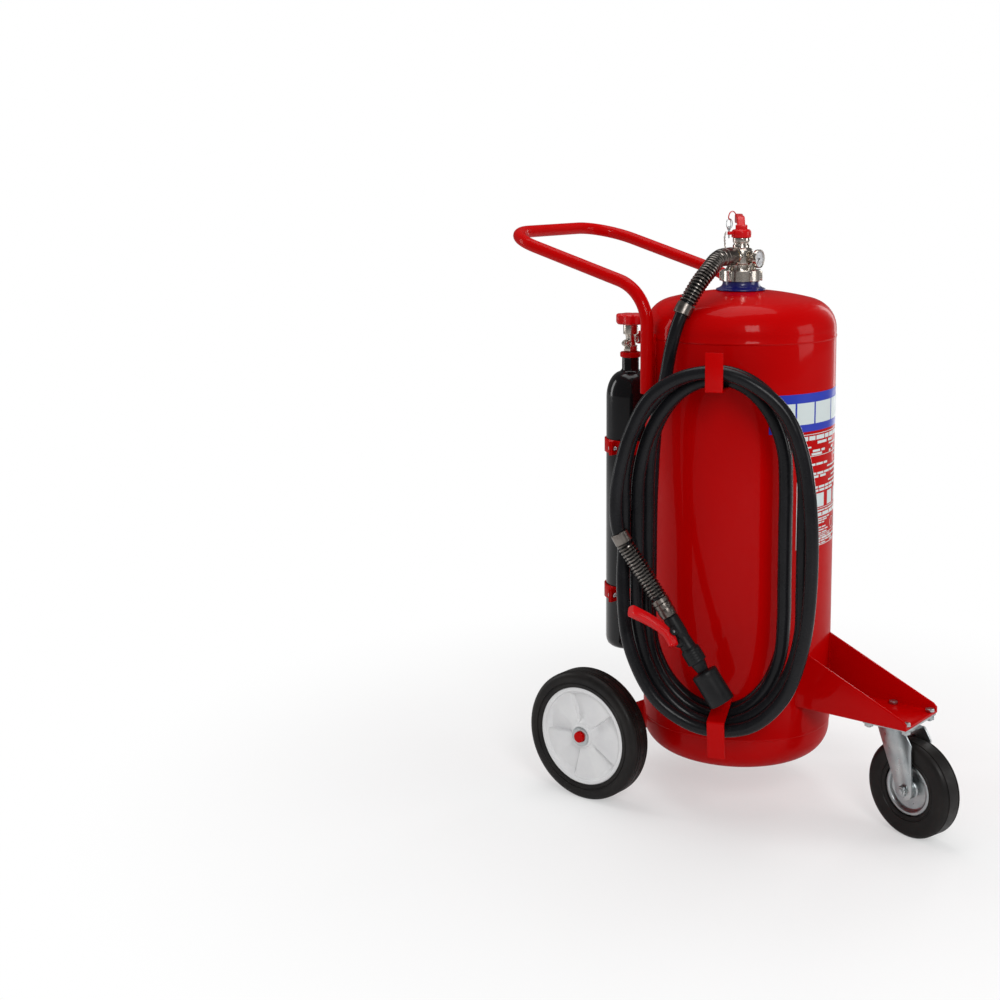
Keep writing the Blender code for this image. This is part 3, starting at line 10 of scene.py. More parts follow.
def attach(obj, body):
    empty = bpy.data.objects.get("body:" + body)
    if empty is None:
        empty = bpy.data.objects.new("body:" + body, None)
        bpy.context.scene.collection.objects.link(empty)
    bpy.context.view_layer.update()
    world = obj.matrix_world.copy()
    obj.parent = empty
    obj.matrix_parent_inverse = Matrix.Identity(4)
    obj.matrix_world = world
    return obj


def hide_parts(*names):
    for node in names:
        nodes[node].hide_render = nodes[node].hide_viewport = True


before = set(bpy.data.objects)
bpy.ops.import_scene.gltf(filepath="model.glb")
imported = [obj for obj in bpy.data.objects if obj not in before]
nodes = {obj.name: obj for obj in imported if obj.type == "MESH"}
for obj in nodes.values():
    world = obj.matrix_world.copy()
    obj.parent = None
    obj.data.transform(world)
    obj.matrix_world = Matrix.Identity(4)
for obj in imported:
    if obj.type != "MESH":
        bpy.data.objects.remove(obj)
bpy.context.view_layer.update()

TAU = math.tau
TANK_Y = 0.0065591         # the tank's axis in the shared frame
TANK_R = 0.200
CROWN_HEAD_R = 0.613       # each head is dished: a flat crown
KNUCKLE_R = 0.0623         # and a tight knuckle at the rim
BOTTOM_HEAD_Z = 0.1575
TOP_HEAD_Z = 1.0121
NECK_TOP_Z = 1.127
OUTLET_Z = 1.1635
HOSE_R = 0.0134
GUARD_R = 0.0185
UP = Vector((0, 0, 1))


def spot(x, y, z):
    """A point measured from the tank's axis, in the shared frame."""
    return Vector((x, y + TANK_Y, z))


# ---------------------------------------------------------------- camera
def set_camera():
    yaw, pitch, roll = (math.radians(a) for a in (-49.99, -7.70, -0.555))
    ahead = Vector((-math.sin(yaw) * math.cos(pitch), math.cos(yaw) * math.cos(pitch), math.sin(pitch)))
    right = Vector((math.cos(yaw), math.sin(yaw), 0))
    up = right.cross(ahead)
    across = math.cos(roll) * right + math.sin(roll) * up
    upright = -math.sin(roll) * right + math.cos(roll) * up
    data = bpy.data.cameras.new("view")
    data.lens = 58.78
    data.sensor_width = 36
    data.shift_x = 0.0302
    data.shift_y = -0.1234
    camera = bpy.data.objects.new("view", data)
    turn = Matrix((across, upright, -ahead)).transposed().to_4x4()
    camera.matrix_world = Matrix.Translation(spot(-3.010, -1.776, 1.377)) @ turn
    bpy.context.scene.collection.objects.link(camera)
    bpy.context.scene.camera = camera


set_camera()


# ---------------------------------------------------------------- finishes
def wire(tree, kind, settings=None, **inputs):
    """A node with its settings and its inputs, which are values or other nodes' sockets."""
    node = tree.nodes.new(kind)
    for key, value in (settings or {}).items():
        setattr(node, key, value)
    for key, value in inputs.items():
        socket = node.inputs[int(key[1:])] if key[1:].isdigit() else node.inputs[key.replace("_", " ")]
        if isinstance(value, bpy.types.NodeSocket):
            tree.links.new(value, socket)
        else:
            socket.default_value = value
    return node


def finish(name, dark, light, rough, metal=0.0, coat=0.0, coat_rough=0.06, specular=0.5,
           mottle=8.0, grain=400.0, bump=0.05, depth=0.0004, stretch=(1, 1, 1)):
    """A finish whose colour wanders from dark to light and whose gloss wanders between two roughnesses."""
    made = bpy.data.materials.new(name)
    made.use_nodes = True
    tree = made.node_tree
    shader = tree.nodes["Principled BSDF"]
    where = wire(tree, "ShaderNodeTexCoord").outputs["Object"]
    laid = wire(tree, "ShaderNodeMapping", Vector=where, Scale=stretch).outputs[0]
    cloud = wire(tree, "ShaderNodeTexNoise", Vector=laid, Scale=mottle, Detail=5.0, Roughness=0.6).outputs[0]
    spread = wire(tree, "ShaderNodeMapRange", i0=cloud, i1=0.3, i2=0.7).outputs[0]
    tone = wire(tree, "ShaderNodeMix", {"data_type": "RGBA"}, i0=spread, i6=(*dark, 1), i7=(*light, 1)).outputs[2]
    smear = wire(tree, "ShaderNodeTexNoise", Vector=laid, Scale=mottle * 3.7, Detail=3.0).outputs[0]
    gloss = wire(tree, "ShaderNodeMapRange", i0=smear, i1=0.3, i2=0.7, i3=rough[0], i4=rough[1]).outputs[0]
    skin = wire(tree, "ShaderNodeTexNoise", Vector=where, Scale=grain, Detail=2.0).outputs[0]
    relief = wire(tree, "ShaderNodeBump", Strength=bump, Distance=depth, Height=skin).outputs[0]
    tree.links.new(tone, shader.inputs["Base Color"])
    tree.links.new(gloss, shader.inputs["Roughness"])
    tree.links.new(relief, shader.inputs["Normal"])
    shader.inputs["Metallic"].default_value = metal
    shader.inputs["Coat Weight"].default_value = coat
    shader.inputs["Coat Roughness"].default_value = coat_rough
    shader.inputs["Specular IOR Level"].default_value = specular
    return made


RED = finish("red enamel", (0.43, 0.000, 0.0003), (0.48, 0.0002, 0.0005), (0.34, 0.44), coat=0.14,
             specular=0.02, mottle=3.0, grain=260.0, bump=0.10)
LACQUER = finish("red lacquer", (0.52, 0.001, 0.003), (0.60, 0.002, 0.004), (0.30, 0.42), coat=0.3,
                 specular=0.12, mottle=14.0, grain=500.0, bump=0.15)
BLUE = finish("blue enamel", (0.006, 0.008, 0.10), (0.009, 0.011, 0.14), (0.28, 0.38), coat=0.4, specular=0.4)
BAND_BLUE = finish("blue band print", (0.006, 0.024, 0.38), (0.008, 0.030, 0.42), (0.34, 0.42), specular=0.35)
PALE_PRINT = finish("pale print", (0.58, 0.66, 0.66), (0.64, 0.70, 0.70), (0.38, 0.48), specular=0.35)
BOTTLE_BLACK = finish("black bottle enamel", (0.003, 0.003, 0.004), (0.005, 0.005, 0.006), (0.12, 0.22),
                      coat=0.3, specular=0.2, mottle=5.0)
NICKEL = finish("nickel plate", (0.50, 0.45, 0.39), (0.66, 0.62, 0.57), (0.14, 0.28), metal=1.0, mottle=40.0,
                bump=0.12, grain=300.0)
ZINC = finish("zinc plate", (0.36, 0.40, 0.42), (0.56, 0.58, 0.58), (0.26, 0.42), metal=1.0, mottle=26.0,
              bump=0.12, grain=350.0)
SPRING = finish("spring steel", (0.10, 0.09, 0.085), (0.22, 0.20, 0.18), (0.22, 0.34), metal=1.0, mottle=60.0)
SLEEVE = finish("oiled steel sleeve", (0.14, 0.120, 0.108), (0.25, 0.225, 0.205), (0.26, 0.38),
                metal=1.0, mottle=40.0)
BRASS = finish("dull brass", (0.30, 0.19, 0.07), (0.42, 0.28, 0.12), (0.26, 0.38), metal=1.0, mottle=40.0)
HOSE_BLACK = finish("hose rubber", (0.006, 0.006, 0.007), (0.011, 0.011, 0.013), (0.20, 0.32),
                    specular=0.18, mottle=12.0, grain=900.0, bump=0.08)
TYRE_BLACK = finish("tyre rubber", (0.007, 0.006, 0.006), (0.015, 0.013, 0.012), (0.36, 0.52),
                    specular=0.20, mottle=20.0, grain=700.0, bump=0.25)
PLASTIC_BLACK = finish("black plastic", (0.006, 0.006, 0.007), (0.011, 0.011, 0.012), (0.34, 0.48),
                       specular=0.22, mottle=30.0, grain=800.0, bump=0.20)
HUB_WHITE = finish("hub plastic", (0.70, 0.70, 0.71), (0.77, 0.77, 0.77), (0.36, 0.48), mottle=18.0,
                   grain=500.0, bump=0.08)
DIAL_WHITE = finish("dial enamel", (0.78, 0.80, 0.84), (0.84, 0.85, 0.88), (0.30, 0.36))
DIAL_INK = finish("dial ink", (0.02, 0.02, 0.02), (0.03, 0.03, 0.03), (0.40, 0.50))


def lens_glass():
    made = bpy.data.materials.new("dial glass")
    made.use_nodes = True
    tree = made.node_tree
    shader = tree.nodes["Principled BSDF"]
    where = wire(tree, "ShaderNodeTexCoord").outputs["Object"]
    wipe = wire(tree, "ShaderNodeTexNoise", Vector=where, Scale=120.0).outputs[0]
    gloss = wire(tree, "ShaderNodeMapRange", i0=wipe, i3=0.01, i4=0.06).outputs[0]
    tree.links.new(gloss, shader.inputs["Roughness"])
    shader.inputs["Base Color"].default_value = (0.97, 0.98, 0.98, 1)
    shader.inputs["Transmission Weight"].default_value = 1.0
    shader.inputs["IOR"].default_value = 1.45
    return made


GLASS = lens_glass()


# ---------------------------------------------------------------- shop tools
def stand(place, heading=UP, roll=0.0):
    """Puts something made round +Z at a place, with +Z turned to a heading."""
    return Matrix.Translation(place) @ Vector(heading).to_track_quat("Z", "Y").to_matrix().to_4x4() @ Matrix.Rotation(
        roll, 4, "Z")


def eased(outline, radius, steps=3, closed=False):
    """An outline with its corners rounded, by up to the radius."""
    count = len(outline)
    rounded = []
    for i, here in enumerate(outline):
        if not closed and i in (0, count - 1):
            rounded.append(tuple(here))
            continue
        here = Vector(here)
        back = Vector(outline[i - 1]) - here
        on = Vector(outline[(i + 1) % count]) - here
        reach = min(radius, back.length * 0.45, on.length * 0.45)
        if reach < 1e-6 or back.angle(on) > math.radians(172):
            rounded.append(tuple(here))
            continue
        first = here + back.normalized() * reach
        last = here + on.normalized() * reach
        for k in range(steps + 1):
            t = k / steps
            rounded.append(tuple(first * (1 - t) ** 2 + here * 2 * t * (1 - t) + last * t ** 2))
    return rounded


def turned(outline, place=(0, 0, 0), heading=UP, steps=64, ring=False):
    """A shape spun from an outline of (radius, height)."""
    bm = bmesh.new()
    spots = [bm.verts.new((r, 0, h)) for r, h in outline]
    pairs = list(zip(spots, spots[1:])) + ([(spots[-1], spots[0])] if ring else [])
    edges = [bm.edges.new(pair) for pair in pairs]
    bmesh.ops.spin(bm, geom=spots + edges, cent=(0, 0, 0), axis=(0, 0, 1), angle=TAU, steps=steps, use_merge=True)
    bmesh.ops.remove_doubles(bm, verts=bm.verts, dist=1e-6)
    bmesh.ops.recalc_face_normals(bm, faces=bm.faces)
    bmesh.ops.transform(bm, matrix=stand(Vector(place), heading), verts=bm.verts)
    return bm


def rod(radius, low, high, place, heading=UP, edge=0.0006, steps=32):
    outline = eased([(0, high), (radius, high), (radius, low), (0, low)], edge)
    return turned(outline, place, heading, steps)


def ring_of_wire(radius, wire_r, place, heading=UP, steps=40, sides=10):
    outline = [(radius + wire_r * math.cos(TAU * k / sides), wire_r * math.sin(TAU * k / sides))
               for k in range(sides)]
    return turned(outline, place, heading, steps, ring=True)


def break_edges(bm, width, angle=30, segments=2):
    """Rounds every edge that is sharper than the angle."""
    sharp = [e for e in bm.edges if len(e.link_faces) == 2 and e.calc_face_angle(0) > math.radians(angle)]
    bmesh.ops.bevel(bm, geom=sharp, offset=width, offset_type="OFFSET", segments=segments, profile=0.5,
                    affect="EDGES", clamp_overlap=True, material=-1)
    return bm


def plate(outline, thickness, place, edge=0.0006, segments=2):
    """A flat plate in its own XY plane, thick along Z, then put in place by a matrix."""
    bm = bmesh.new()
    face = bm.faces.new([bm.verts.new((x, y, -thickness / 2)) for x, y in outline])
    grown = bmesh.ops.extrude_face_region(bm, geom=[face])["geom"]
    bmesh.ops.translate(bm, vec=(0, 0, thickness), verts=[g for g in grown if isinstance(g, bmesh.types.BMVert)])
    bmesh.ops.recalc_face_normals(bm, faces=bm.faces)
    if edge:
        break_edges(bm, edge, segments=segments)
    bmesh.ops.transform(bm, matrix=place, verts=bm.verts)
    return bm


def block(low, high, place=Matrix.Identity(4), edge=0.0006, segments=2):
    low, high = Vector(low), Vector(high)
    bm = bmesh.new()
    middle = Matrix.Translation((low + high) / 2)
    bmesh.ops.create_cube(bm, size=1.0, matrix=middle @ Matrix.Diagonal((*(high - low), 1)))
    break_edges(bm, edge, segments=segments)
    bmesh.ops.transform(bm, matrix=place, verts=bm.verts)
    return bm


def hexagon(across, low, high, place, heading=UP, roll=0.0):
    """A hexagon nut or bolt head with its corners turned off."""
    bm = bmesh.new()
    corner = across / math.sqrt(3)
    bmesh.ops.create_cone(bm, cap_ends=True, segments=6, radius1=corner, radius2=corner, depth=high - low,
                          matrix=Matrix.Translation((0, 0, (high + low) / 2)))
    for face in [f for f in bm.faces if abs(f.normal.z) > 0.9]:
        bmesh.ops.inset_individual(bm, faces=[face], thickness=corner * 0.10)
        bmesh.ops.translate(bm, vec=face.normal * corner * 0.05, verts=face.verts)
    break_edges(bm, corner * 0.03, angle=25, segments=1)
    bmesh.ops.transform(bm, matrix=stand(Vector(place), heading, roll), verts=bm.verts)
    return bm


def flowing(spots, spacing):
    """Points along a smooth curve through the spots, about one spacing apart."""
    spots = [Vector(p) for p in spots]
    ends = [spots[0] * 2 - spots[1]] + spots + [spots[-1] * 2 - spots[-2]]
    path = [spots[0].copy()]
    for p0, p1, p2, p3 in zip(ends, ends[1:], ends[2:], ends[3:]):
        count = max(1, round((p2 - p1).length / spacing))
        for i in range(1, count + 1):
            t = i / count
            path.append(0.5 * (2 * p1 + (p2 - p0) * t + (2 * p0 - 5 * p1 + 4 * p2 - p3) * t ** 2
                               + (3 * p1 - p0 - 3 * p2 + p3) * t ** 3))
    return path


def carried(path, side=None):
    """Frames along a path that don't twist: +Z runs along it."""
    ways = []
    for i in range(len(path)):
        before, after = path[max(i - 1, 0)], path[min(i + 1, len(path) - 1)]
        ways.append((after - before).normalized())
    side = Vector(side) if side else ways[0].orthogonal()
    stations = []
    for point, way in zip(path, ways):
        side = (side - way * side.dot(way)).normalized()
        turn = Matrix((side, way.cross(side), way)).transposed().to_4x4()
        stations.append(Matrix.Translation(point) @ turn)
    return stations


def swept(stations, section):
    """A closed bar: a section of (x, y) carried through the stations and capped at both ends."""
    bm = bmesh.new()
    first = [bm.verts.new(stations[0] @ Vector((x, y, 0))) for x, y in section]
    edges = [bm.edges.new(pair) for pair in zip(first, first[1:] + first[:1])]
    for before, here in zip(stations, stations[1:]):
        grown = bmesh.ops.extrude_edge_only(bm, edges=edges)["geom"]
        moved = [g for g in grown if isinstance(g, bmesh.types.BMVert)]
        edges = [g for g in grown if isinstance(g, bmesh.types.BMEdge) and g.is_boundary]
        bmesh.ops.transform(bm, matrix=here @ before.inverted(), verts=moved)
    bmesh.ops.holes_fill(bm, edges=[e for e in bm.edges if e.is_boundary], sides=0)
    bmesh.ops.recalc_face_normals(bm, faces=bm.faces)
    return bm


def disc(radius, sides):
    return [(radius * math.cos(TAU * k / sides), radius * math.sin(TAU * k / sides)) for k in range(sides)]


def squircle(power, sides):
    """A rounded square section, one unit from middle to side."""
    outline = []
    for k in range(sides):
        c, s = math.cos(TAU * k / sides), math.sin(TAU * k / sides)
        outline.append((math.copysign(abs(c) ** (2 / power), c), math.copysign(abs(s) ** (2 / power), s)))
    return outline


def tube(path, radius, sides=20):
    return swept(carried([Vector(p) for p in path]), disc(radius, sides))


def scaled(station, across, up=None):
    return station @ Matrix.Diagonal((across, across if up is None else up, 1, 1))


def gathered(*shapes):
    """Several shapes as one mesh."""
    whole = bmesh.new()
    for shape in shapes:
        held = bpy.data.meshes.new("held")
        shape.to_mesh(held)
        shape.free()
        whole.from_mesh(held)
        bpy.data.meshes.remove(held)
    return whole


def piece(name, shape, look, body="chassis", stands_for=(), smooth=32):
    mesh = bpy.data.meshes.new(name)
    shape.to_mesh(mesh)
    shape.free()
    mesh.shade_smooth()
    mesh.set_sharp_from_angle(angle=math.radians(smooth))
    mesh.materials.append(look)
    made = bpy.data.objects.new(name, mesh)
    bpy.context.scene.collection.objects.link(made)
    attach(made, body)
    if stands_for:
        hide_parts(*stands_for)
    return made


def refined(node, look, edge=0.0, body="chassis", segments=2):
    """A copy of a CAD shape with its flat faces whole again and its edges rounded; it replaces the CAD piece."""
    source = nodes[node]
    shape = bmesh.new()
    shape.from_mesh(source.data)
    bmesh.ops.transform(shape, matrix=source.matrix_world, verts=shape.verts)
    bmesh.ops.remove_doubles(shape, verts=shape.verts, dist=2e-6)
    bmesh.ops.dissolve_limit(shape, angle_limit=math.radians(1), verts=shape.verts, edges=shape.edges)
    if edge:
        break_edges(shape, edge, angle=35, segments=segments)
    return piece(node + "_finished", shape, look, body, (node,))


# ---------------------------------------------------------------- hose
TILT = math.radians(21.5)
COIL_OUT = Vector((-math.cos(TILT), -math.sin(TILT), 0))
COIL_ALONG = Vector((math.sin(TILT), -math.cos(TILT), 0))


def coil_side(out, along, z):
    """A point on the hose's side of the tank: outwards, towards the front, and up."""
    return COIL_OUT * out + COIL_ALONG * along + Vector((0, TANK_Y, z))


# each quarter turn of the three turns on the hooks, from the rear side down and round: distance out from the
# tank's axis, and half width or height
COIL_OUTS = (0.2040, 0.2195, 0.2195, 0.2195, 0.2330, 0.2465, 0.2468, 0.2478, 0.2611, 0.2735, 0.2700, 0.2684, 0.2633)
COIL_SIDES = {1: 0.147, 3: 0.131, 5: 0.147, 7: 0.133, 9: 0.162, 11: 0.172, 13: 0.1895}
COIL_ENDS = {2: 0.2420, 4: 0.9325, 6: 0.2390, 8: 0.9325, 10: 0.2300, 12: 0.9510}
COIL_MIDDLE = 0.583
COIL_BOWS = (0.190, 0.235)


def coil_point(quarter):
    """A point on the turns: straight at the sides, and half round over the hook and under it."""
    end = min(12, max(2, 2 * round(quarter / 2)))
    side = min(13, max(1, 2 * math.floor(quarter / 2) + 1))
    low = min(11, max(0, math.floor(quarter) - 1))
    share = min(1.0, max(0.0, quarter - 1 - low))
    out = COIL_OUTS[low] * (1 - share) + COIL_OUTS[low + 1] * share
    wide, reach = COIL_SIDES[side], abs(COIL_ENDS[end] - COIL_MIDDLE)
    bow = COIL_BOWS[0] if quarter < 8 else COIL_BOWS[1]
    straight, round_part = reach - bow, math.pi / 4 * (wide + bow)
    gone = min(1.0, abs(quarter - side)) * (straight + round_part)
    turn = max(0.0, gone - straight) / round_part * math.pi / 2
    up = min(gone, straight) + bow * math.sin(turn)
    return coil_side(out, (-1 if side % 4 == 1 else 1) * wide * math.cos(turn),
                     COIL_MIDDLE + (up if end % 4 == 0 else -up))


NOZZLE_START = spot(-0.309, -0.028, 0.455)
NOZZLE_TIP = spot(-0.278, -0.131, 0.292)
NOZZLE_AXIS = (NOZZLE_TIP - NOZZLE_START).normalized()
NOZZLE_HOSE = NOZZLE_START - NOZZLE_AXIS * 0.0303

GUARD_SPOTS = [spot(-0.0719, 0, OUTLET_Z), spot(-0.0799, 0, OUTLET_Z - 0.0004), spot(-0.105, -0.003, 1.1575),
               spot(-0.138, -0.006, 1.1400), spot(-0.170, -0.001, 1.1130), spot(-0.196, 0.012, 1.0705),
               spot(-0.2045, 0.0165, 1.0535)]
TOP_RUN = [spot(-0.2145, 0.0235, 1.022), spot(-0.2195, 0.0330, 0.978), coil_side(0.188, -0.122, 0.920),
           coil_side(0.185, -0.137, 0.860), coil_side(0.186, -0.144, 0.790), coil_side(0.1900, -0.147, 0.720),
           coil_side(0.1965, -0.148, 0.650)]
BESIDE = 0.2957
OVER = 0.2975
OUTER_RUN = [coil_side(BESIDE + more, along, z) for more, along, z in (
    (-0.021, -0.1886, 0.490), (-0.003, -0.171, 0.385), (0.003, -0.121, 0.287), (0.0045, -0.050, 0.237),
    (0.0045, 0.020, 0.227), (0.006, 0.090, 0.249), (0.008, 0.149, 0.318), (0.010, 0.181, 0.424),
    (0.011, 0.1925, 0.550), (0.009, 0.190, 0.680), (0.005, 0.173, 0.793), (0.0015, 0.136, 0.878),
    (0.0012, 0.070, 0.932),
    (0.0008, 0, 0.952), (0, -0.072, 0.938), (0, -0.134, 0.893), (0.001, -0.173, 0.815), (OVER - BESIDE, -0.192, 0.740),
    (OVER - BESIDE, -0.1985, 0.690), (OVER - BESIDE, -0.1985, 0.655))]
NOZZLE_GUARD = [coil_side(OVER, -0.1925, 0.620), coil_side(OVER - 0.002, -0.1755, 0.590),
                NOZZLE_HOSE - NOZZLE_AXIS * 0.070 + COIL_OUT * 0.001, NOZZLE_HOSE - NOZZLE_AXIS * 0.035,
                NOZZLE_HOSE - NOZZLE_AXIS * 0.008, NOZZLE_HOSE]


def hose_route():
    coil = [coil_point(1.0 + k / 6) for k in range(0, 73)]
    return flowing(GUARD_SPOTS + TOP_RUN + coil + OUTER_RUN + NOZZLE_GUARD, 0.011)


def wound_guard(path, first, last):
    """A spring wound over the hose, and the plain sleeve at each end, of the given lengths."""
    lengths = [0.0]
    for a, b in zip(path, path[1:]):
        lengths.append(lengths[-1] + (b - a).length)
    whole = lengths[-1]
    stations = carried(path)
    pitch, wire_r = 0.0074, 0.0026
    low, high = first, whole - last
    steps = 14
    turns = round((high - low) / pitch)

    def station_at(far):
        k = next((i for i in range(1, len(lengths)) if lengths[i] >= far), len(lengths) - 1)
        share = (far - lengths[k - 1]) / (lengths[k] - lengths[k - 1])
        return stations[k - 1].lerp(stations[k], share)

    helix = []
    for k in range(turns * steps + 1):
        far = low + wire_r + (high - low - 2 * wire_r) * k / (turns * steps)
        a = TAU * k / steps
        helix.append(station_at(far) @ Vector(((GUARD_R - wire_r) * math.cos(a), (GUARD_R - wire_r) * math.sin(a), 0)))
    spring = swept(carried(helix), disc(wire_r, 7))
    sleeves = []
    for start, end in ((0.0001, first), (whole - last, whole - 0.0001)):
        marks = [start + (end - start) * k / 4 for k in range(5)]
        outline = disc(1.0, 32)
        rounding = [(marks[0], GUARD_R - 0.001), (marks[0] + 0.0008, GUARD_R)] + [
            (m, GUARD_R) for m in marks[1:-1]] + [(marks[-1] - 0.0008, GUARD_R), (marks[-1], GUARD_R - 0.001)]
        sleeves.append(swept([scaled(station_at(far), r) for far, r in rounding], outline))
    return spring, gathered(*sleeves)


def lay_hose():
    path = hose_route()
    hose = piece("hose", tube(path, HOSE_R, 20), HOSE_BLACK,
                 stands_for=("hose_top_run", "hose_coil", "hose_outer_run"))
    spring, sleeves = wound_guard(flowing(GUARD_SPOTS, 0.006), 0.014, 0.023)
    upper = piece("hose_guard_spring", spring, SPRING, stands_for=("hose_guard",))
    upper_sleeve = piece("hose_guard_sleeves", sleeves, SLEEVE)
    spring, sleeves = wound_guard(flowing(NOZZLE_GUARD, 0.006), 0.023, 0.010)
    lower = piece("nozzle_guard_spring", spring, SPRING, stands_for=("nozzle_guard",))
    lower_sleeve = piece("nozzle_guard_sleeves", sleeves, SLEEVE)
    return hose, path, [upper, upper_sleeve, lower, lower_sleeve]


hose, hose_path, guards = lay_hose()


# ---------------------------------------------------------------- tank
def dished(start):
    """Points (radius, rise) on a dished head, from a radius near the middle out to the rim."""
    middle = TANK_R - KNUCKLE_R
    drop = math.sqrt((CROWN_HEAD_R - KNUCKLE_R) ** 2 - middle ** 2)
    join = middle * CROWN_HEAD_R / (CROWN_HEAD_R - KNUCKLE_R)
    radii = [start + (join - start) * k / 14 for k in range(14)]
    crown = [(r, math.sqrt(CROWN_HEAD_R ** 2 - r * r) - drop) for r in radii]
    steep = math.atan2(drop, middle)
    angles = [steep * (1 - k / 14) for k in range(14)]
    return crown + [(middle + KNUCKLE_R * math.cos(a), KNUCKLE_R * math.sin(a)) for a in angles]


def tank_shell():
    top = [(r, TOP_HEAD_Z + rise) for r, rise in dished(0.030)]
    bottom = [(r, BOTTOM_HEAD_Z - rise) for r, rise in reversed(dished(0.0))]
    seams = []
    for seam in (0.997, 0.171):
        seams += [(TANK_R, seam + 0.0042), (TANK_R + 0.0009, seam + 0.0020), (TANK_R + 0.0012, seam),
                  (TANK_R + 0.0006, seam - 0.0022), (TANK_R - 0.0002, seam - 0.0030), (TANK_R, seam - 0.0045)]
    side = [(TANK_R, TOP_HEAD_Z)] + seams[:6] + [(TANK_R, z) for z in (0.8, 0.6, 0.4)] + seams[6:] + [
        (TANK_R, BOTTOM_HEAD_Z)]
    inside = [(0, top[0][1] - 0.016), (0.030, top[0][1] - 0.016)]
    piece("tank", turned(inside + top + side + bottom, spot(0, 0, 0), steps=128), RED,
          stands_for=("tank_shell",), smooth=50)


def wrapped(shape, radius):
    """Bends a flat shape round the tank: x is degrees from the front towards +X, and z stays."""
    for v in shape.verts:
        a = math.radians(v.co.x)
        v.co = spot(radius * math.sin(a), -radius * math.cos(a), v.co.z)
    return shape


def print_patch(left, right, low, high):
    """A flat grid over some degrees of the tank, cut finely enough to bend."""
    bm = bmesh.new()
    columns = max(1, round((right - left) / 3))
    bmesh.ops.create_grid(bm, x_segments=columns, y_segments=1, size=0.5,
                          matrix=Matrix.Translation(((left + right) / 2, 0, (low + high) / 2))
                          @ Matrix.Rotation(math.pi / 2, 4, "X") @ Matrix.Diagonal((right - left, high - low, 1, 1)))
    return bm


def printed(name, patches, look, radius, thickness=0.00025):
    whole = wrapped(gathered(*[print_patch(*p) for p in patches]), radius)
    bmesh.ops.recalc_face_normals(whole, faces=whole.faces)
    bmesh.ops.solidify(whole, geom=whole.faces[:], thickness=thickness)
    piece(name, whole, look)


def frame_lines(left, right, low, high, thick):
    """Four thin strips round a rectangle; thick is in metres."""
    wide = math.degrees(thick / TANK_R)
    return [(left, right, high - thick, high), (left, right, low, low + thick),
            (left, left + wide, low + thick, high - thick), (right - wide, right, low + thick, high - thick)]


def text_row(draw, left, right, z, height, words):
    """A row of short plain bars where the panel has a line of text."""
    bars = []
    lengths = [draw.uniform(0.6, 1.4) for _ in range(words)]
    gap = (right - left) * 0.12 / max(1, words - 1) if words > 1 else 0
    scale = (right - left - gap * (words - 1)) / sum(lengths)
    x = left
    for length in lengths:
        bars.append((x, x + length * scale, z - height / 2, z + height / 2))
        x += length * scale + gap
    return bars


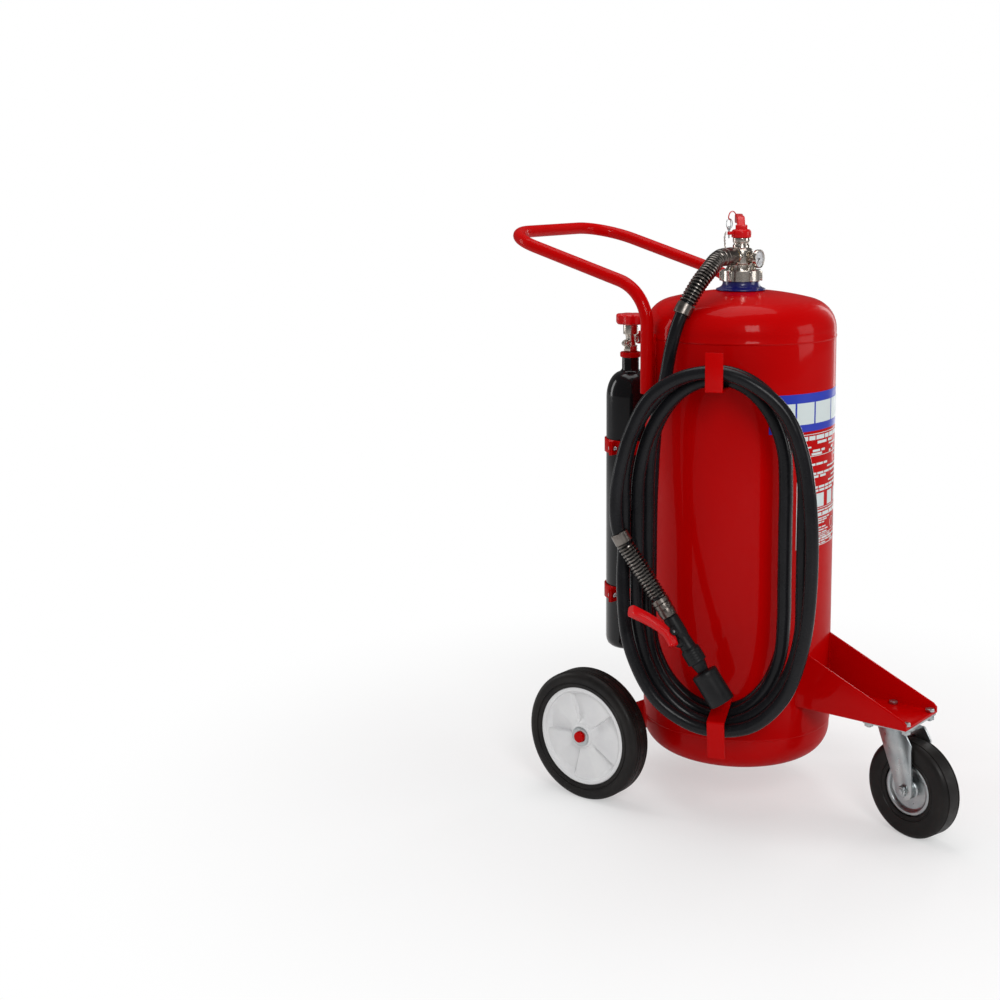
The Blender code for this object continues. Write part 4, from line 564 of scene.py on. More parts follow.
def labels():
    draw = random.Random(7)
    printed("front_band", [(-42.1, 48.9, 0.813, 0.892)], BAND_BLUE, TANK_R + 0.0004)
    tiles = []
    x = -36.0
    for width in (10.6, 13.6, 18.0, 12.4, 10.6, 10.8):
        tiles.append((x, x + width, 0.8285, 0.8730))
        x += width + 1.35
    printed("front_band_tiles", tiles, PALE_PRINT, TANK_R + 0.0007)
    left, right, low, high = -23.4, 30.8, 0.569, 0.807
    width = right - left

    def across(share):
        return left + width * share

    def level(share):
        return high - (high - low) * share

    marks = frame_lines(left, right, low, high, 0.0013)
    for share in (0.197, 0.668, 0.738, 0.905):
        marks.append((left + 0.3, right - 0.3, level(share) - 0.0006, level(share) + 0.0006))
    rows = [(0.03, 0.97, 0.037, 0.0088, 7), (0.31, 0.67, 0.082, 0.0056, 2), (0.14, 0.20, 0.115, 0.0030, 1),
            (0.57, 0.82, 0.115, 0.0030, 3), (0.23, 0.46, 0.152, 0.0046, 2), (0.64, 0.69, 0.152, 0.0046, 1),
            (0.21, 0.40, 0.180, 0.0046, 1), (0.58, 0.63, 0.180, 0.0046, 1), (0.71, 0.77, 0.180, 0.0046, 1),
            (0.76, 0.97, 0.232, 0.0030, 2), (0.21, 0.53, 0.272, 0.0046, 3), (0.53, 0.97, 0.312, 0.0030, 4),
            (0.21, 0.85, 0.355, 0.0046, 5), (0.21, 0.50, 0.382, 0.0046, 2), (0.66, 0.97, 0.402, 0.0030, 3),
            (0.57, 0.95, 0.440, 0.0030, 4), (0.20, 0.83, 0.478, 0.0046, 5), (0.22, 0.72, 0.508, 0.0046, 4),
            (0.10, 0.95, 0.690, 0.0030, 7), (0.12, 0.88, 0.722, 0.0062, 5)]
    rows += [(0.07, 0.62, 0.762, 0.0026, 6), (0.07, 0.55, 0.780, 0.0026, 5), (0.07, 0.48, 0.800, 0.0026, 5),
             (0.07, 0.32, 0.818, 0.0026, 2), (0.07, 0.52, 0.842, 0.0026, 4), (0.07, 0.58, 0.866, 0.0026, 4),
             (0.07, 0.55, 0.890, 0.0026, 4), (0.38, 0.65, 0.920, 0.0022, 2), (0.20, 0.82, 0.940, 0.0040, 5),
             (0.31, 0.72, 0.962, 0.0028, 4), (0.03, 0.20, 0.984, 0.0024, 2), (0.34, 0.52, 0.984, 0.0024, 2),
             (0.66, 0.97, 0.984, 0.0024, 2)]
    for start, end, share, height, words in rows:
        marks += text_row(draw, across(start), across(end), level(share), height, words)
    for share in (0.26, 0.41):
        middle = level(share + 0.025)
        marks += frame_lines(across(0.02), across(0.165), middle - 0.0145, middle + 0.0145, 0.0009)
    for share in (0.07, 0.31, 0.55, 0.79):
        marks.append((across(share), across(share + 0.15), level(0.655), level(0.535)))
    printed("instruction_panel", marks, PALE_PRINT, TANK_R + 0.0004)
    rings = []
    for share in (0.72, 0.885):
        loop = ring_of_wire(0.0115, 0.0006, (0, 0, 0), steps=36, sides=6)
        centre = (across(share), 0, level(0.835))
        for v in loop.verts:
            v.co = Vector((centre[0] + math.degrees(v.co.x / TANK_R), v.co.z * 0.3, centre[2] + v.co.y))
        rings.append(loop)
    whole = gathered(*rings)
    for v in whole.verts:
        a = math.radians(v.co.x)
        radius = TANK_R + 0.0004 - v.co.y
        v.co = spot(radius * math.sin(a), -radius * math.cos(a), v.co.z)
    bmesh.ops.recalc_face_normals(whole, faces=whole.faces)
    piece("panel_rings", whole, PALE_PRINT)


tank_shell()
labels()


# ---------------------------------------------------------------- neck and valve
def neck():
    outline = [(0.030, NECK_TOP_Z), (0.038, NECK_TOP_Z), (0.038, 1.1065), (0.0386, 1.1030), (0.0410, 1.0990),
               (0.0460, 1.0960), (0.0515, 1.0940), (0.0522, 1.0918), (0.0505, 1.0905), (0.0305, 1.0925)]
    piece("neck_flare", turned(eased(outline, 0.002, closed=True), spot(0, 0, 0), ring=True, steps=96), BLUE,
          stands_for=("neck_collar",), smooth=40)
    refined("neck_gasket", PLASTIC_BLACK)
    low, high = 1.1098, 1.1336
    outline = [(0.0243, high), (0.0405, high), (0.0417, high - 0.0012), (0.0417, low + 0.001), (0.0409, low),
               (0.0386, low), (0.0386, high - 0.0026), (0.0243, high - 0.0026)]
    nut = turned(outline, spot(0, 0, 0), ring=True, steps=96)
    lugs = []
    for k in range(6):
        turn = Matrix.Rotation(math.radians(60 * k), 4, "Z")
        place = Matrix.Translation(spot(0, 0, 0)) @ turn
        lugs.append(block((0.0400, -0.0030, low + 0.0006), (0.0450, 0.0030, high - 0.0030), place, 0.0012, 3))
    piece("ring_nut_turned", gathered(nut, *lugs), NICKEL, stands_for=("ring_nut",))


def valve():
    outline = [(0, 1.2005), (0.0040, 1.2005), (0.0040, 1.2008), (0.0172, 1.2008), (0.0178, 1.2000), (0.0178, 1.1912),
               (0.0160, 1.1900), (0.0160, 1.1868), (0.0178, 1.1856), (0.0178, 1.1805), (0.0225, 1.1770),
               (0.0255, 1.1740), (0.0255, 1.1475), (0.0238, 1.1435), (0.0235, 1.1316), (0.0370, 1.1314),
               (0.0370, 1.1288), (0, 1.1288)]
    body = turned(eased(outline, 0.0010, 2), spot(0, 0, 0), steps=72)
    parts = [body]
    for heading in (-150, -118, -62, -30, 20, 70, 110, 160):
        place = Matrix.Translation(spot(0, 0, 0)) @ Matrix.Rotation(math.radians(heading), 4, "Z")
        rib = plate([(0.020, 1.1318), (0.0325, 1.1318), (0.0325, 1.1345), (0.0262, 1.1470), (0.020, 1.1500)], 0.0034,
                    place @ Matrix.Rotation(math.pi / 2, 4, "X"), 0.0010, 2)
        parts.append(rib)
    parts.append(rod(0.0152, 0.015, 0.0262, spot(0, 0, OUTLET_Z), (-1, 0, 0), 0.001, 40))
    parts.append(rod(0.0139, 0.020, 0.0398, spot(0, 0, OUTLET_Z), (-1, 0, 0), 0.001, 40))
    parts.append(rod(0.0090, 0.018, 0.0290, spot(0, 0, 1.1575), (0, -1, 0), 0.001, 32))
    parts.append(rod(0.0105, 0.010, 0.0285, spot(0, 0, 1.1575), (1, 0, 0), 0.0015, 32))
    piece("valve_casting", gathered(*parts), NICKEL, stands_for=("valve_body",))
    nut = hexagon(0.0365, 0.0259, 0.0338, spot(0, 0, OUTLET_Z), (-1, 0, 0), math.radians(30))
    piece("hose_union_nut", nut, NICKEL, stands_for=("hose_nut",))
    start, end = 0.0342, 0.0716
    outline = [(0, end), (0.0180, end), (0.0190, end - 0.0012), (0.0190, start + 0.0030),
               (0.0180, start + 0.0022), (0, start + 0.0022)]
    piece("hose_end_ferrule", turned(eased(outline, 0.0007, 2), spot(0, 0, OUTLET_Z), (-1, 0, 0), 48), SLEEVE,
          stands_for=("hose_ferrule",))
    piece("hose_end_ring", rod(0.0186, start, start + 0.0022, spot(0, 0, OUTLET_Z), (-1, 0, 0), 0.0005, 48), BRASS)
    refined("valve_spindle", NICKEL, body="valve_lever")
    refined("dip_tube", ZINC)


def gauge():
    front = 0.046
    place = spot(0, 0, 1.1575)
    dial = front - 0.0045
    outline = [(0, dial), (0.0176, dial), (0.0176, front - 0.0003), (0.0183, front), (0.0190, front),
               (0.0195, front - 0.0006), (0.0195, front - 0.0078), (0.0185, front - 0.0098), (0.0068, front - 0.0100),
               (0.0060, front - 0.0115), (0.0060, front - 0.0235), (0, front - 0.0235)]
    case = turned(eased(outline, 0.0005, 2), place, (0, -1, 0), 64)
    collar = hexagon(0.0150, front - 0.0175, front - 0.0105, place, (0, -1, 0))
    piece("gauge_can", gathered(case, collar), NICKEL, stands_for=("gauge_case",))
    piece("gauge_dial", rod(0.01755, dial + 0.0001, dial + 0.0004, place, (0, -1, 0), 0.0001, 48), DIAL_WHITE)
    ticks = []
    for k in range(26):
        a = math.radians(-125 + 10 * k)
        outer, inner = 0.0158, 0.0132 if k % 5 == 0 else 0.0144
        wide = 0.00035 if k % 5 == 0 else 0.00022
        put = Matrix.Translation(place) @ Matrix.Rotation(math.pi / 2, 4, "X") @ Matrix.Rotation(a, 4, "Z")
        ticks.append(block((-wide, inner, dial + 0.0004), (wide, outer, dial + 0.0006), put, 0.00004, 1))
    boss = rod(0.0021, dial + 0.0004, dial + 0.0022, place, (0, -1, 0), 0.0003, 20)
    piece("gauge_marks", gathered(*ticks, boss), DIAL_INK)
    refined("gauge_needle", DIAL_INK, body="gauge_needle")
    refined("gauge_glass", GLASS)


def lever():
    heading = math.radians(33.5)
    way = Vector((math.cos(heading), math.sin(heading), 0))
    low, top = 1.2013, 1.2178
    outline = [(0, top + 0.0012), (0.0120, top + 0.0012), (0.0178, top), (0.0207, top - 0.0035),
               (0.0207, low + 0.0005), (0.0200, low), (0.0045, low), (0.0045, low + 0.004), (0, low + 0.004)]
    hub = turned(eased(outline, 0.0012, 2), spot(0, 0, 0), steps=64)
    arm_points = [(0.004, 1.2130), (0.012, 1.2190), (0.0215, 1.2290), (0.0275, 1.2345), (0.036, 1.2362),
                  (0.055, 1.2362), (0.070, 1.2362), (0.082, 1.2362), (0.098, 1.2364), (0.110, 1.2366),
                  (0.1160, 1.2366), (0.1178, 1.2366)]
    widths = [(0.0084, 0.0080), (0.0084, 0.0090), (0.0084, 0.0096), (0.0084, 0.0098), (0.0082, 0.0094),
              (0.0080, 0.0088), (0.0080, 0.0086), (0.0082, 0.0088), (0.0086, 0.0096), (0.0088, 0.0104),
              (0.0088, 0.0104), (0.0078, 0.0094)]
    path = [spot(0, 0, 0) + way * out + UP * z for out, z in arm_points]
    side = UP.cross(way)
    stations = [scaled(st, w, h) for st, (w, h) in zip(carried(path, side), widths)]
    arm = swept(stations, squircle(6.0, 36))
    lug_way = math.radians(146)
    place = Matrix.Translation(spot(0, 0, 0)) @ Matrix.Rotation(lug_way, 4, "Z")
    rounding = [(0.0140, -0.0050), (0.0260, -0.0044), (0.0305, -0.0034), (0.0325, 0), (0.0305, 0.0034),
                (0.0260, 0.0044), (0.0140, 0.0050)]
    lug = plate(rounding, 0.0070, place @ Matrix.Translation((0, 0, low + 0.0095)), 0.0012, 2)
    put = Matrix.Translation(spot(0, 0, 0)) @ Matrix.Rotation(heading, 4, "Z")
    boss = block((-0.0075, -0.0122, top - 0.002), (0.0085, 0.0122, top + 0.0100), put, 0.0018, 3)
    piece("quarter_turn_lever", gathered(hub, arm, lug, boss), LACQUER, "valve_lever", ("valve_lever",), 40)
    return place


def safety_pin(place):
    lug_top = 1.2143
    foot = Vector((0.0287, 0, 0))
    eye_z = lug_top + 0.0033 + 0.0012 + 0.002
    centre = place @ (foot + Vector((0, 0, eye_z)))
    shank = rod(0.0015, lug_top - 0.014, eye_z - 0.0033, place @ foot, edge=0.0003, steps=16)
    eye = ring_of_wire(0.0033, 0.0011, centre, Vector((1, 0, 0)), 28, 10)
    shoulder = rod(0.0026, lug_top + 0.0003, lug_top + 0.0018, place @ foot, edge=0.0003, steps=20)
    piece("pin_with_eye", gathered(shank, eye, shoulder), ZINC, "safety_pin", ("safety_pin",))
    hang = centre + Vector((0, 0, 0.0105 - 0.0009))
    coils = []
    for lift, tilt in ((-0.0009, -0.09), (0.0009, 0.09)):
        coils.append(ring_of_wire(0.0105, 0.0009, hang + Vector((0, lift, 0)), Vector((tilt, -1, 0.02)), 48, 8))
    piece("split_ring", gathered(*coils), ZINC, "safety_pin", ("pin_ring",))
    start = spot(0.0110, 0.0180, 1.2420)
    loop = [start, start + Vector((-0.0035, 0.0010, 0.0080)), start + Vector((-0.0115, 0.0020, 0.0135)),
            hang + Vector((0.0030, -0.0015, 0.0240)), hang + Vector((-0.0015, -0.0010, 0.0190)),
            hang + Vector((-0.0020, 0, 0.0130)), hang + Vector((0.0005, -0.0015, 0.0085))]
    piece("seal_wire", tube(flowing(loop, 0.0012), 0.0012, 10), LACQUER, "safety_pin")


def pin_chain():
    """Small oval links that hang from the lug beside the gland to the hose union."""
    path = flowing([spot(-0.0292, 0.0206, 1.2120), spot(-0.0310, 0.0220, 1.2020), spot(-0.0305, 0.0216, 1.1920),
                    spot(-0.0300, 0.0212, 1.1830), spot(-0.0330, 0.0190, 1.1780)], 0.0034)
    links = []
    for k, station in enumerate(carried(path)):
        link = ring_of_wire(0.0015, 0.00055, (0, 0, 0), steps=16, sides=6)
        quarter = Matrix.Rotation(math.pi / 2 * (k % 2), 4, "Z")
        lay = Matrix.Rotation(math.pi / 2, 4, "X") @ Matrix.Diagonal((1, 1.75, 1, 1))
        bmesh.ops.transform(link, matrix=station @ quarter @ lay, verts=link.verts)
        links.append(link)
    chain = gathered(*links)
    bmesh.ops.recalc_face_normals(chain, faces=chain.faces)
    piece("pin_chain", chain, NICKEL)


neck()
valve()
gauge()
safety_pin(lever())
pin_chain()


# ---------------------------------------------------------------- hooks, handle, brackets
LOWER_HOOK_AHEAD = 0.011


def hooks():
    turn = Matrix.Translation(spot(0, 0, 0)) @ Matrix.Rotation(TILT, 4, "Z") @ Matrix.Rotation(math.pi / 2, 4, "X")
    reach, thick, arm = 0.3142, 0.005, 0.9187
    upper = [(-0.195, arm - thick), (-0.195, arm), (-reach + thick + 0.003, arm), (-reach + thick, arm + 0.003),
             (-reach + thick, arm - thick + 0.079), (-reach, arm - thick + 0.079), (-reach, arm - thick + 0.004),
             (-reach + 0.0012, arm - thick + 0.0012), (-reach + 0.004, arm - thick)]
    low, reach, rise = 0.2465, 0.321, 0.022
    top = low + thick
    lower = [(-0.195, low + rise), (-0.195, top + rise), (-reach + 0.004, top), (-reach + 0.0012, top - 0.0012),
             (-reach, top - 0.004), (-reach + 0.016, top - 0.082), (-reach + thick + 0.016, top - 0.082),
             (-reach + thick + 0.0007, low - 0.003), (-reach + thick + 0.003, low)]
    piece("upper_hook_bar", plate(upper, 0.035, turn, 0.0007, 2), RED, stands_for=("upper_hook",))
    ahead = Matrix.Translation(COIL_ALONG * LOWER_HOOK_AHEAD)
    piece("lower_hook_bar", plate(lower, 0.035, ahead @ turn, 0.0007, 2), RED, stands_for=("lower_hook",))


def rounded_path(corners, radius, count=8):
    path = [Vector(corners[0])]
    for before, here, after in zip(corners, corners[1:], corners[2:]):
        here = Vector(here)
        back = (Vector(before) - here).normalized()
        on = (Vector(after) - here).normalized()
        half = back.angle(on) / 2
        reach = radius / math.tan(half)
        centre = here + (back + on).normalized() * (radius / math.sin(half))
        first, last = here + back * reach - centre, here + on * reach - centre
        sweep = first.angle(last)
        for i in range(count + 1):
            part = i / count
            blend = first * math.sin((1 - part) * sweep) + last * math.sin(part * sweep)
            path.append(centre + blend / math.sin(sweep))
    path.append(Vector(corners[-1]))
    return path


def weld(points, radius, draw):
    """A weld bead: ripples along a line."""
    path = flowing(points, radius * 0.9)
    stations = []
    for k, station in enumerate(carried(path)):
        swell = radius * (0.86 + 0.14 * math.cos(k * 1.9) + draw.uniform(-0.05, 0.05))
        if k in (0, len(path) - 1):
            swell *= 0.4
        stations.append(scaled(station, swell))
    return swept(stations, disc(1.0, 10))


def handle():
    turn, out = math.radians(30.2), 0.2190
    post_x, post_y = out * math.cos(turn), out * math.sin(turn)
    z_foot, z_bend, bar_y, bar_z = 0.882, 1.0955, 0.495, 1.2065
    corners = [spot(-post_x, post_y, z_foot), spot(-post_x, post_y, z_bend), spot(-post_x, bar_y, bar_z),
               spot(post_x, bar_y, bar_z), spot(post_x, post_y, z_bend), spot(post_x, post_y, z_foot)]
    path = rounded_path(corners, 0.096, 16)
    first, last = path[0], path[-1]
    path = [first, first + UP * 0.0006] + path[1:-1] + [last + UP * 0.0006, last]
    radii = [0.0125] + [0.0135] * (len(path) - 2) + [0.0125]
    bar = swept([scaled(s, r) for s, r in zip(carried(path), radii)], disc(1.0, 28))
    draw = random.Random(3)
    beads, strips = [], []
    for way in (-1, 1):
        lean = Matrix.Rotation(turn if way > 0 else math.pi - turn, 4, "Z")
        strips.append(block((0.196, -0.004, 0.884), (out - 0.006, 0.004, 1.0060),
                            Matrix.Translation(spot(0, 0, 0)) @ lean, 0.0006))
        for aside in (-1, 1):
            angle = turn + aside * math.radians(1.45)
            for low, high in ((0.888, 0.940), (0.955, 0.990)):
                beads.append(weld([spot(way * 0.2012 * math.cos(angle), 0.2012 * math.sin(angle),
                                        low + (high - low) * k / 3) for k in range(4)], 0.0024, draw))
    piece("push_handle", gathered(bar, *strips), RED, stands_for=("handle_frame",), smooth=50)
    piece("handle_welds", gathered(*beads), RED)


def weld_beads():
    """Beads where the hooks and the caster bracket meet the tank."""
    draw = random.Random(5)
    beads = []
    for z, ahead in ((0.9137, 0), (0.9187, 0), (0.2675, LOWER_HOOK_AHEAD), (0.2725, LOWER_HOOK_AHEAD)):
        row = []
        for k in range(5):
            along = ahead - 0.0150 + 0.0300 * k / 4
            row.append(coil_side(math.sqrt(0.2008 ** 2 - along ** 2), along, z))
        beads.append(weld(row, 0.0019, draw))
    half = 0.0734
    for way in (-1, 1):
        for side in (-1, 1):
            x = way * half - (0.0050 if side * way < 0 else 0) * way
            edge = -math.sqrt(0.2006 ** 2 - x * x)
            beads.append(weld([spot(x, edge, 0.240 + 0.118 * k / 6) for k in range(7)], 0.0019, draw))
    piece("bracket_welds", gathered(*beads), RED)


hooks()
handle()
weld_beads()
for bracket in ("left_axle_bracket", "right_axle_bracket"):
    refined(bracket, RED, 0.0008)
refined("caster_bracket", RED, 0.0009)
AXLE_END_X = 0.302         # where the CAD axle ends
AXLE_SHORTER = 0.0115      # the photo's axle ends this much nearer the washers
axle = refined("rear_axle", RED, 0.0006)
for v in axle.data.vertices:
    if abs(v.co.x) > AXLE_END_X - 0.012:
        v.co.x -= math.copysign(AXLE_SHORTER, v.co.x)


# ---------------------------------------------------------------- gas bottle
BOTTLE_Y = 0.280


def gas_bottle():
    r, neck_r = 0.054, 0.0192
    shoulder = [(neck_r + (r - neck_r) * math.sin(math.radians(a)), 0.838 + 0.058 * math.cos(math.radians(a)))
                for a in range(8, 91, 6)]
    foot = [(r, 0.287), (r - 0.001, 0.279), (r - 0.004, 0.2715), (r - 0.010, 0.2662), (r - 0.020, 0.2635),
            (r - 0.028, 0.2640), (0, 0.2690)]
    outline = [(0, 0.9270), (0.009, 0.9270), (neck_r, 0.9275), (neck_r, 0.901)] + shoulder + foot
    place = spot(0, BOTTLE_Y, 0)
    piece("gas_bottle_drawn", turned(outline, place, steps=80), BOTTLE_BLACK, stands_for=("gas_bottle",), smooth=50)
    ring = [(0.0128, 0.9279), (0.0222, 0.9279), (0.0235, 0.9298), (0.0235, 0.9375), (0.0222, 0.9395), (0.0128, 0.9395)]
    piece("gas_collar_ring", turned(eased(ring, 0.002, closed=True), place, ring=True, steps=56), RED,
          stands_for=("gas_neck_ring",))
    body = [(0, 1.0010), (0.0040, 1.0010), (0.0040, 1.0013), (0.0158, 1.0013), (0.0167, 1.0003), (0.0167, 0.9805),
            (0.0158, 0.9790), (0.0125, 0.9785), (0.0110, 0.9740), (0.0108, 0.9620), (0.0125, 0.9560),
            (0.0125, 0.9400), (0.0118, 0.9390), (0.0118, 0.9300), (0.0124, 0.9290), (0.0124, 0.9281), (0, 0.9281)]
    parts = [turned(eased(body, 0.0008, 2), place, steps=48), hexagon(0.0290, 0.9401, 0.9536, place)]
    port = spot(0, BOTTLE_Y, 0.964)
    down = math.radians(82)
    outlet = Vector((math.sin(down), 0, math.cos(down)))
    parts.append(rod(0.0078, 0, 0.0278, port, outlet, 0.0008, 32))
    parts.append(hexagon(0.0180, 0.0125, 0.0215, port, outlet))
    plug = spot(0, BOTTLE_Y, 0.9605)
    parts.append(rod(0.0070, 0.004, 0.0240, plug, (-1, 0, 0), 0.0008, 28))
    parts.append(hexagon(0.0145, 0.0150, 0.0225, plug, (-1, 0, 0)))
    parts.append(rod(0.0052, 0.0225, 0.0290, plug, (-1, 0, 0), 0.0012, 24))
    piece("gas_valve_casting", gathered(*parts), NICKEL, stands_for=("gas_valve_body",))
    cap = [(0, 0.0402), (0.0130, 0.0402), (0.0143, 0.0388), (0.0143, 0.0300), (0.0132, 0.0283), (0, 0.0283)]
    piece("gas_cap", turned(eased(cap, 0.001), port, outlet, 40), LACQUER, stands_for=("gas_outlet_cap",))

    low = 1.0020
    bm = bmesh.new()
    bmesh.ops.create_circle(bm, cap_ends=True, segments=168, radius=1.0, matrix=Matrix.Translation((0, 0, low)))
    heights = [(0.0, 0.88), (0.0015, 0.955), (0.004, 1.0), (0.0185, 1.0), (0.0208, 0.97), (0.0225, 0.90),
               (0.0227, 0.66), (0.0205, 0.61), (0.0198, 0.30)]
    face = bm.faces[:][0]
    rings = [list(face.verts)]
    for _ in heights[1:]:
        grown = bmesh.ops.extrude_face_region(bm, geom=[face])["geom"]
        face = next(g for g in grown if isinstance(g, bmesh.types.BMFace))
        rings.append(list(face.verts))
    for ring_verts, (lift, share) in zip(rings, heights):
        for v in ring_verts:
            a = math.atan2(v.co.y, v.co.x)
            lobes = 1 - 0.15 * (0.5 - 0.5 * math.cos(7 * a)) ** 1.6 * (1 if share > 0.6 else 0)
            reach = 0.034 * share * lobes
            v.co = Vector((reach * math.cos(a), reach * math.sin(a), low + lift))
    bmesh.ops.recalc_face_normals(bm, faces=bm.faces)
    bmesh.ops.transform(bm, matrix=Matrix.Translation(spot(0, BOTTLE_Y, 0)), verts=bm.verts)
    stem = rod(0.0040, 0.984, 1.012, place, edge=0.0003, steps=20)
    nut = hexagon(0.0100, 1.0216, 1.0242, place)
    piece("lobed_handwheel", gathered(bm, stem), LACQUER, "gas_handwheel", ("gas_handwheel",), 40)
    piece("handwheel_nut", nut, NICKEL, "gas_handwheel")
    for level in ("lower", "upper"):
        refined(level + "_strap", RED, 0.0007)
        refined(level + "_saddle", RED, 0.0007)
        for number in (1, 2):
            refined("%s_clamp_bolt_%d" % (level, number), ZINC, 0.0004)


gas_bottle()


# ---------------------------------------------------------------- rear wheels
AXLE_Y = 0.2135
WHEEL_R = 0.140


def tyre_outline(radius, width, inner, grooves, rib):
    """Section of a solid tyre: beads, side walls with a moulded step, round shoulders and a grooved tread."""
    half = width / 2
    side = [(inner, half * 0.90), (inner + 0.002, half * 0.93), (inner + rib, half * 0.95),
            (inner + rib + 0.0012, half * 0.90), (inner + rib + 0.0030, half * 0.90),
            (inner + rib + 0.0042, half * 0.97), (radius - 0.0150, half), (radius - 0.0105, half * 0.995),
            (radius - 0.0065, half * 0.94), (radius - 0.0035, half * 0.86), (radius - 0.0014, half * 0.76)]
    tread = [(radius - 0.0003, half * 0.68)]
    for place in grooves:
        x = half * place
        tread += [(radius, x + 0.0016), (radius - 0.0017, x + 0.0009), (radius - 0.0017, x - 0.0009),
                  (radius, x - 0.0016)]
    right = side + tread
    return right + [(r, -x) for r, x in reversed(right)]


def hub(name, centre, turn):
    """A moulded hub: five flat vanes with a sloping pocket between each pair, a plain rim and a boss."""
    outer, rim, boss = 0.1062, 0.0985, 0.0245
    rows = [(0.01165, 0.0278), (0.0225, 0.0278), (boss, 0.0262), (0.0262, 0.0200), (0.030, 0.0185)]
    rows += [(0.030 + (0.0925 - 0.030) * k / 16, 0.0185) for k in range(1, 17)]
    rows += [(0.0945, 0.0185), (0.0962, 0.0200), (0.0970, 0.0238), (rim, 0.0250), (0.1050, 0.0250), (outer, 0.0242)]
    shape = turned(rows + [(r, -h) for r, h in reversed(rows)], (0, 0, 0), UP, 200, ring=True)
    for v in shape.verts:
        r = math.hypot(v.co.x, v.co.y)
        if not 0.0275 < r < 0.0958:
            continue
        a = math.degrees(math.atan2(v.co.y, v.co.x)) * (1 if v.co.z > 0 else -1)
        share = (a % 72) / 72
        sink = 0.0
        if share > 0.47:
            t = (share - 0.47) / 0.53
            sink = 0.0105 * min(1.0, max(0.0, t * 1.08)) ** 1.1
            if t > 0.965:
                sink = 0.0
        fade = min(1.0, (r - 0.0275) / 0.012, (0.0958 - r) / 0.007)
        ridge = 0.0011 if share < 0.012 or share > 0.985 else 0.0
        v.co.z -= math.copysign(sink * max(0.0, fade) - ridge, v.co.z)
    bmesh.ops.transform(shape, matrix=Matrix.Translation(centre) @ turn, verts=shape.verts)
    bmesh.ops.recalc_face_normals(shape, faces=shape.faces)
    return piece(name + "_moulded_hub", shape, HUB_WHITE, name + "_wheel", (name + "_hub",), 28)


def rear_wheel(name, way):
    centre = spot(way * 0.2535, AXLE_Y, WHEEL_R)
    outline = tyre_outline(WHEEL_R, 0.058, 0.1063, (0.52, 0.26, 0.0), 0.0075)
    tyre = turned(outline, centre, (1, 0, 0), 128, ring=True)
    piece(name + "_solid_tyre", tyre, TYRE_BLACK, name + "_wheel", (name + "_tyre",), 30)
    hub(name, centre, Matrix.Rotation(math.pi / 2, 4, "Y") @ Matrix.Rotation(math.radians(14), 4, "Z"))
    refined(name + "_washer", ZINC, 0.0004)


for wheel_name, wheel_way in (("left", -1), ("right", 1)):
    rear_wheel(wheel_name, wheel_way)


# ---------------------------------------------------------------- caster
def caster():
    heading = math.radians(-14)
    swivel = Matrix.Translation(spot(0, -0.383, 0)) @ Matrix.Rotation(heading, 4, "Z")
    centre = swivel @ Vector((0, -0.040, 0.100))
    across = (swivel.to_3x3() @ Vector((1, 0, 0)))
    outline = tyre_outline(0.100, 0.050, 0.0553, (0.60,), 0.0060)
    tyre = turned(outline, centre, across, 112, ring=True)
    piece("caster_solid_tyre", tyre, TYRE_BLACK, "caster_wheel", ("caster_tyre",), 30)
    half, boss = 0.020, 0.0268
    upper = [(0.0062, boss), (0.0150, boss), (0.0160, boss - 0.001), (0.0172, 0.0145), (0.0200, 0.0118),
             (0.0400, 0.0118), (0.0430, 0.0128), (0.0455, 0.0180), (0.0475, half), (0.0520, half),
             (0.0545, half - 0.0012), (0.0551, half - 0.004)]
    disc_outline = upper + [(r, -x) for r, x in reversed(upper)]
    piece("caster_disc_rim", turned(eased(disc_outline, 0.0012, 2, closed=True), centre, across, 96, ring=True), ZINC,
          "caster_wheel", ("caster_rim",), 35)
    refined("caster_fork", ZINC, 0.0008, "caster")
    refined("caster_axle", ZINC, 0.0005, "caster")
    refined("caster_plate", ZINC, 0.0006)
    for number in range(1, 5):
        refined("plate_bolt_%d" % number, ZINC, 0.0005)


caster()


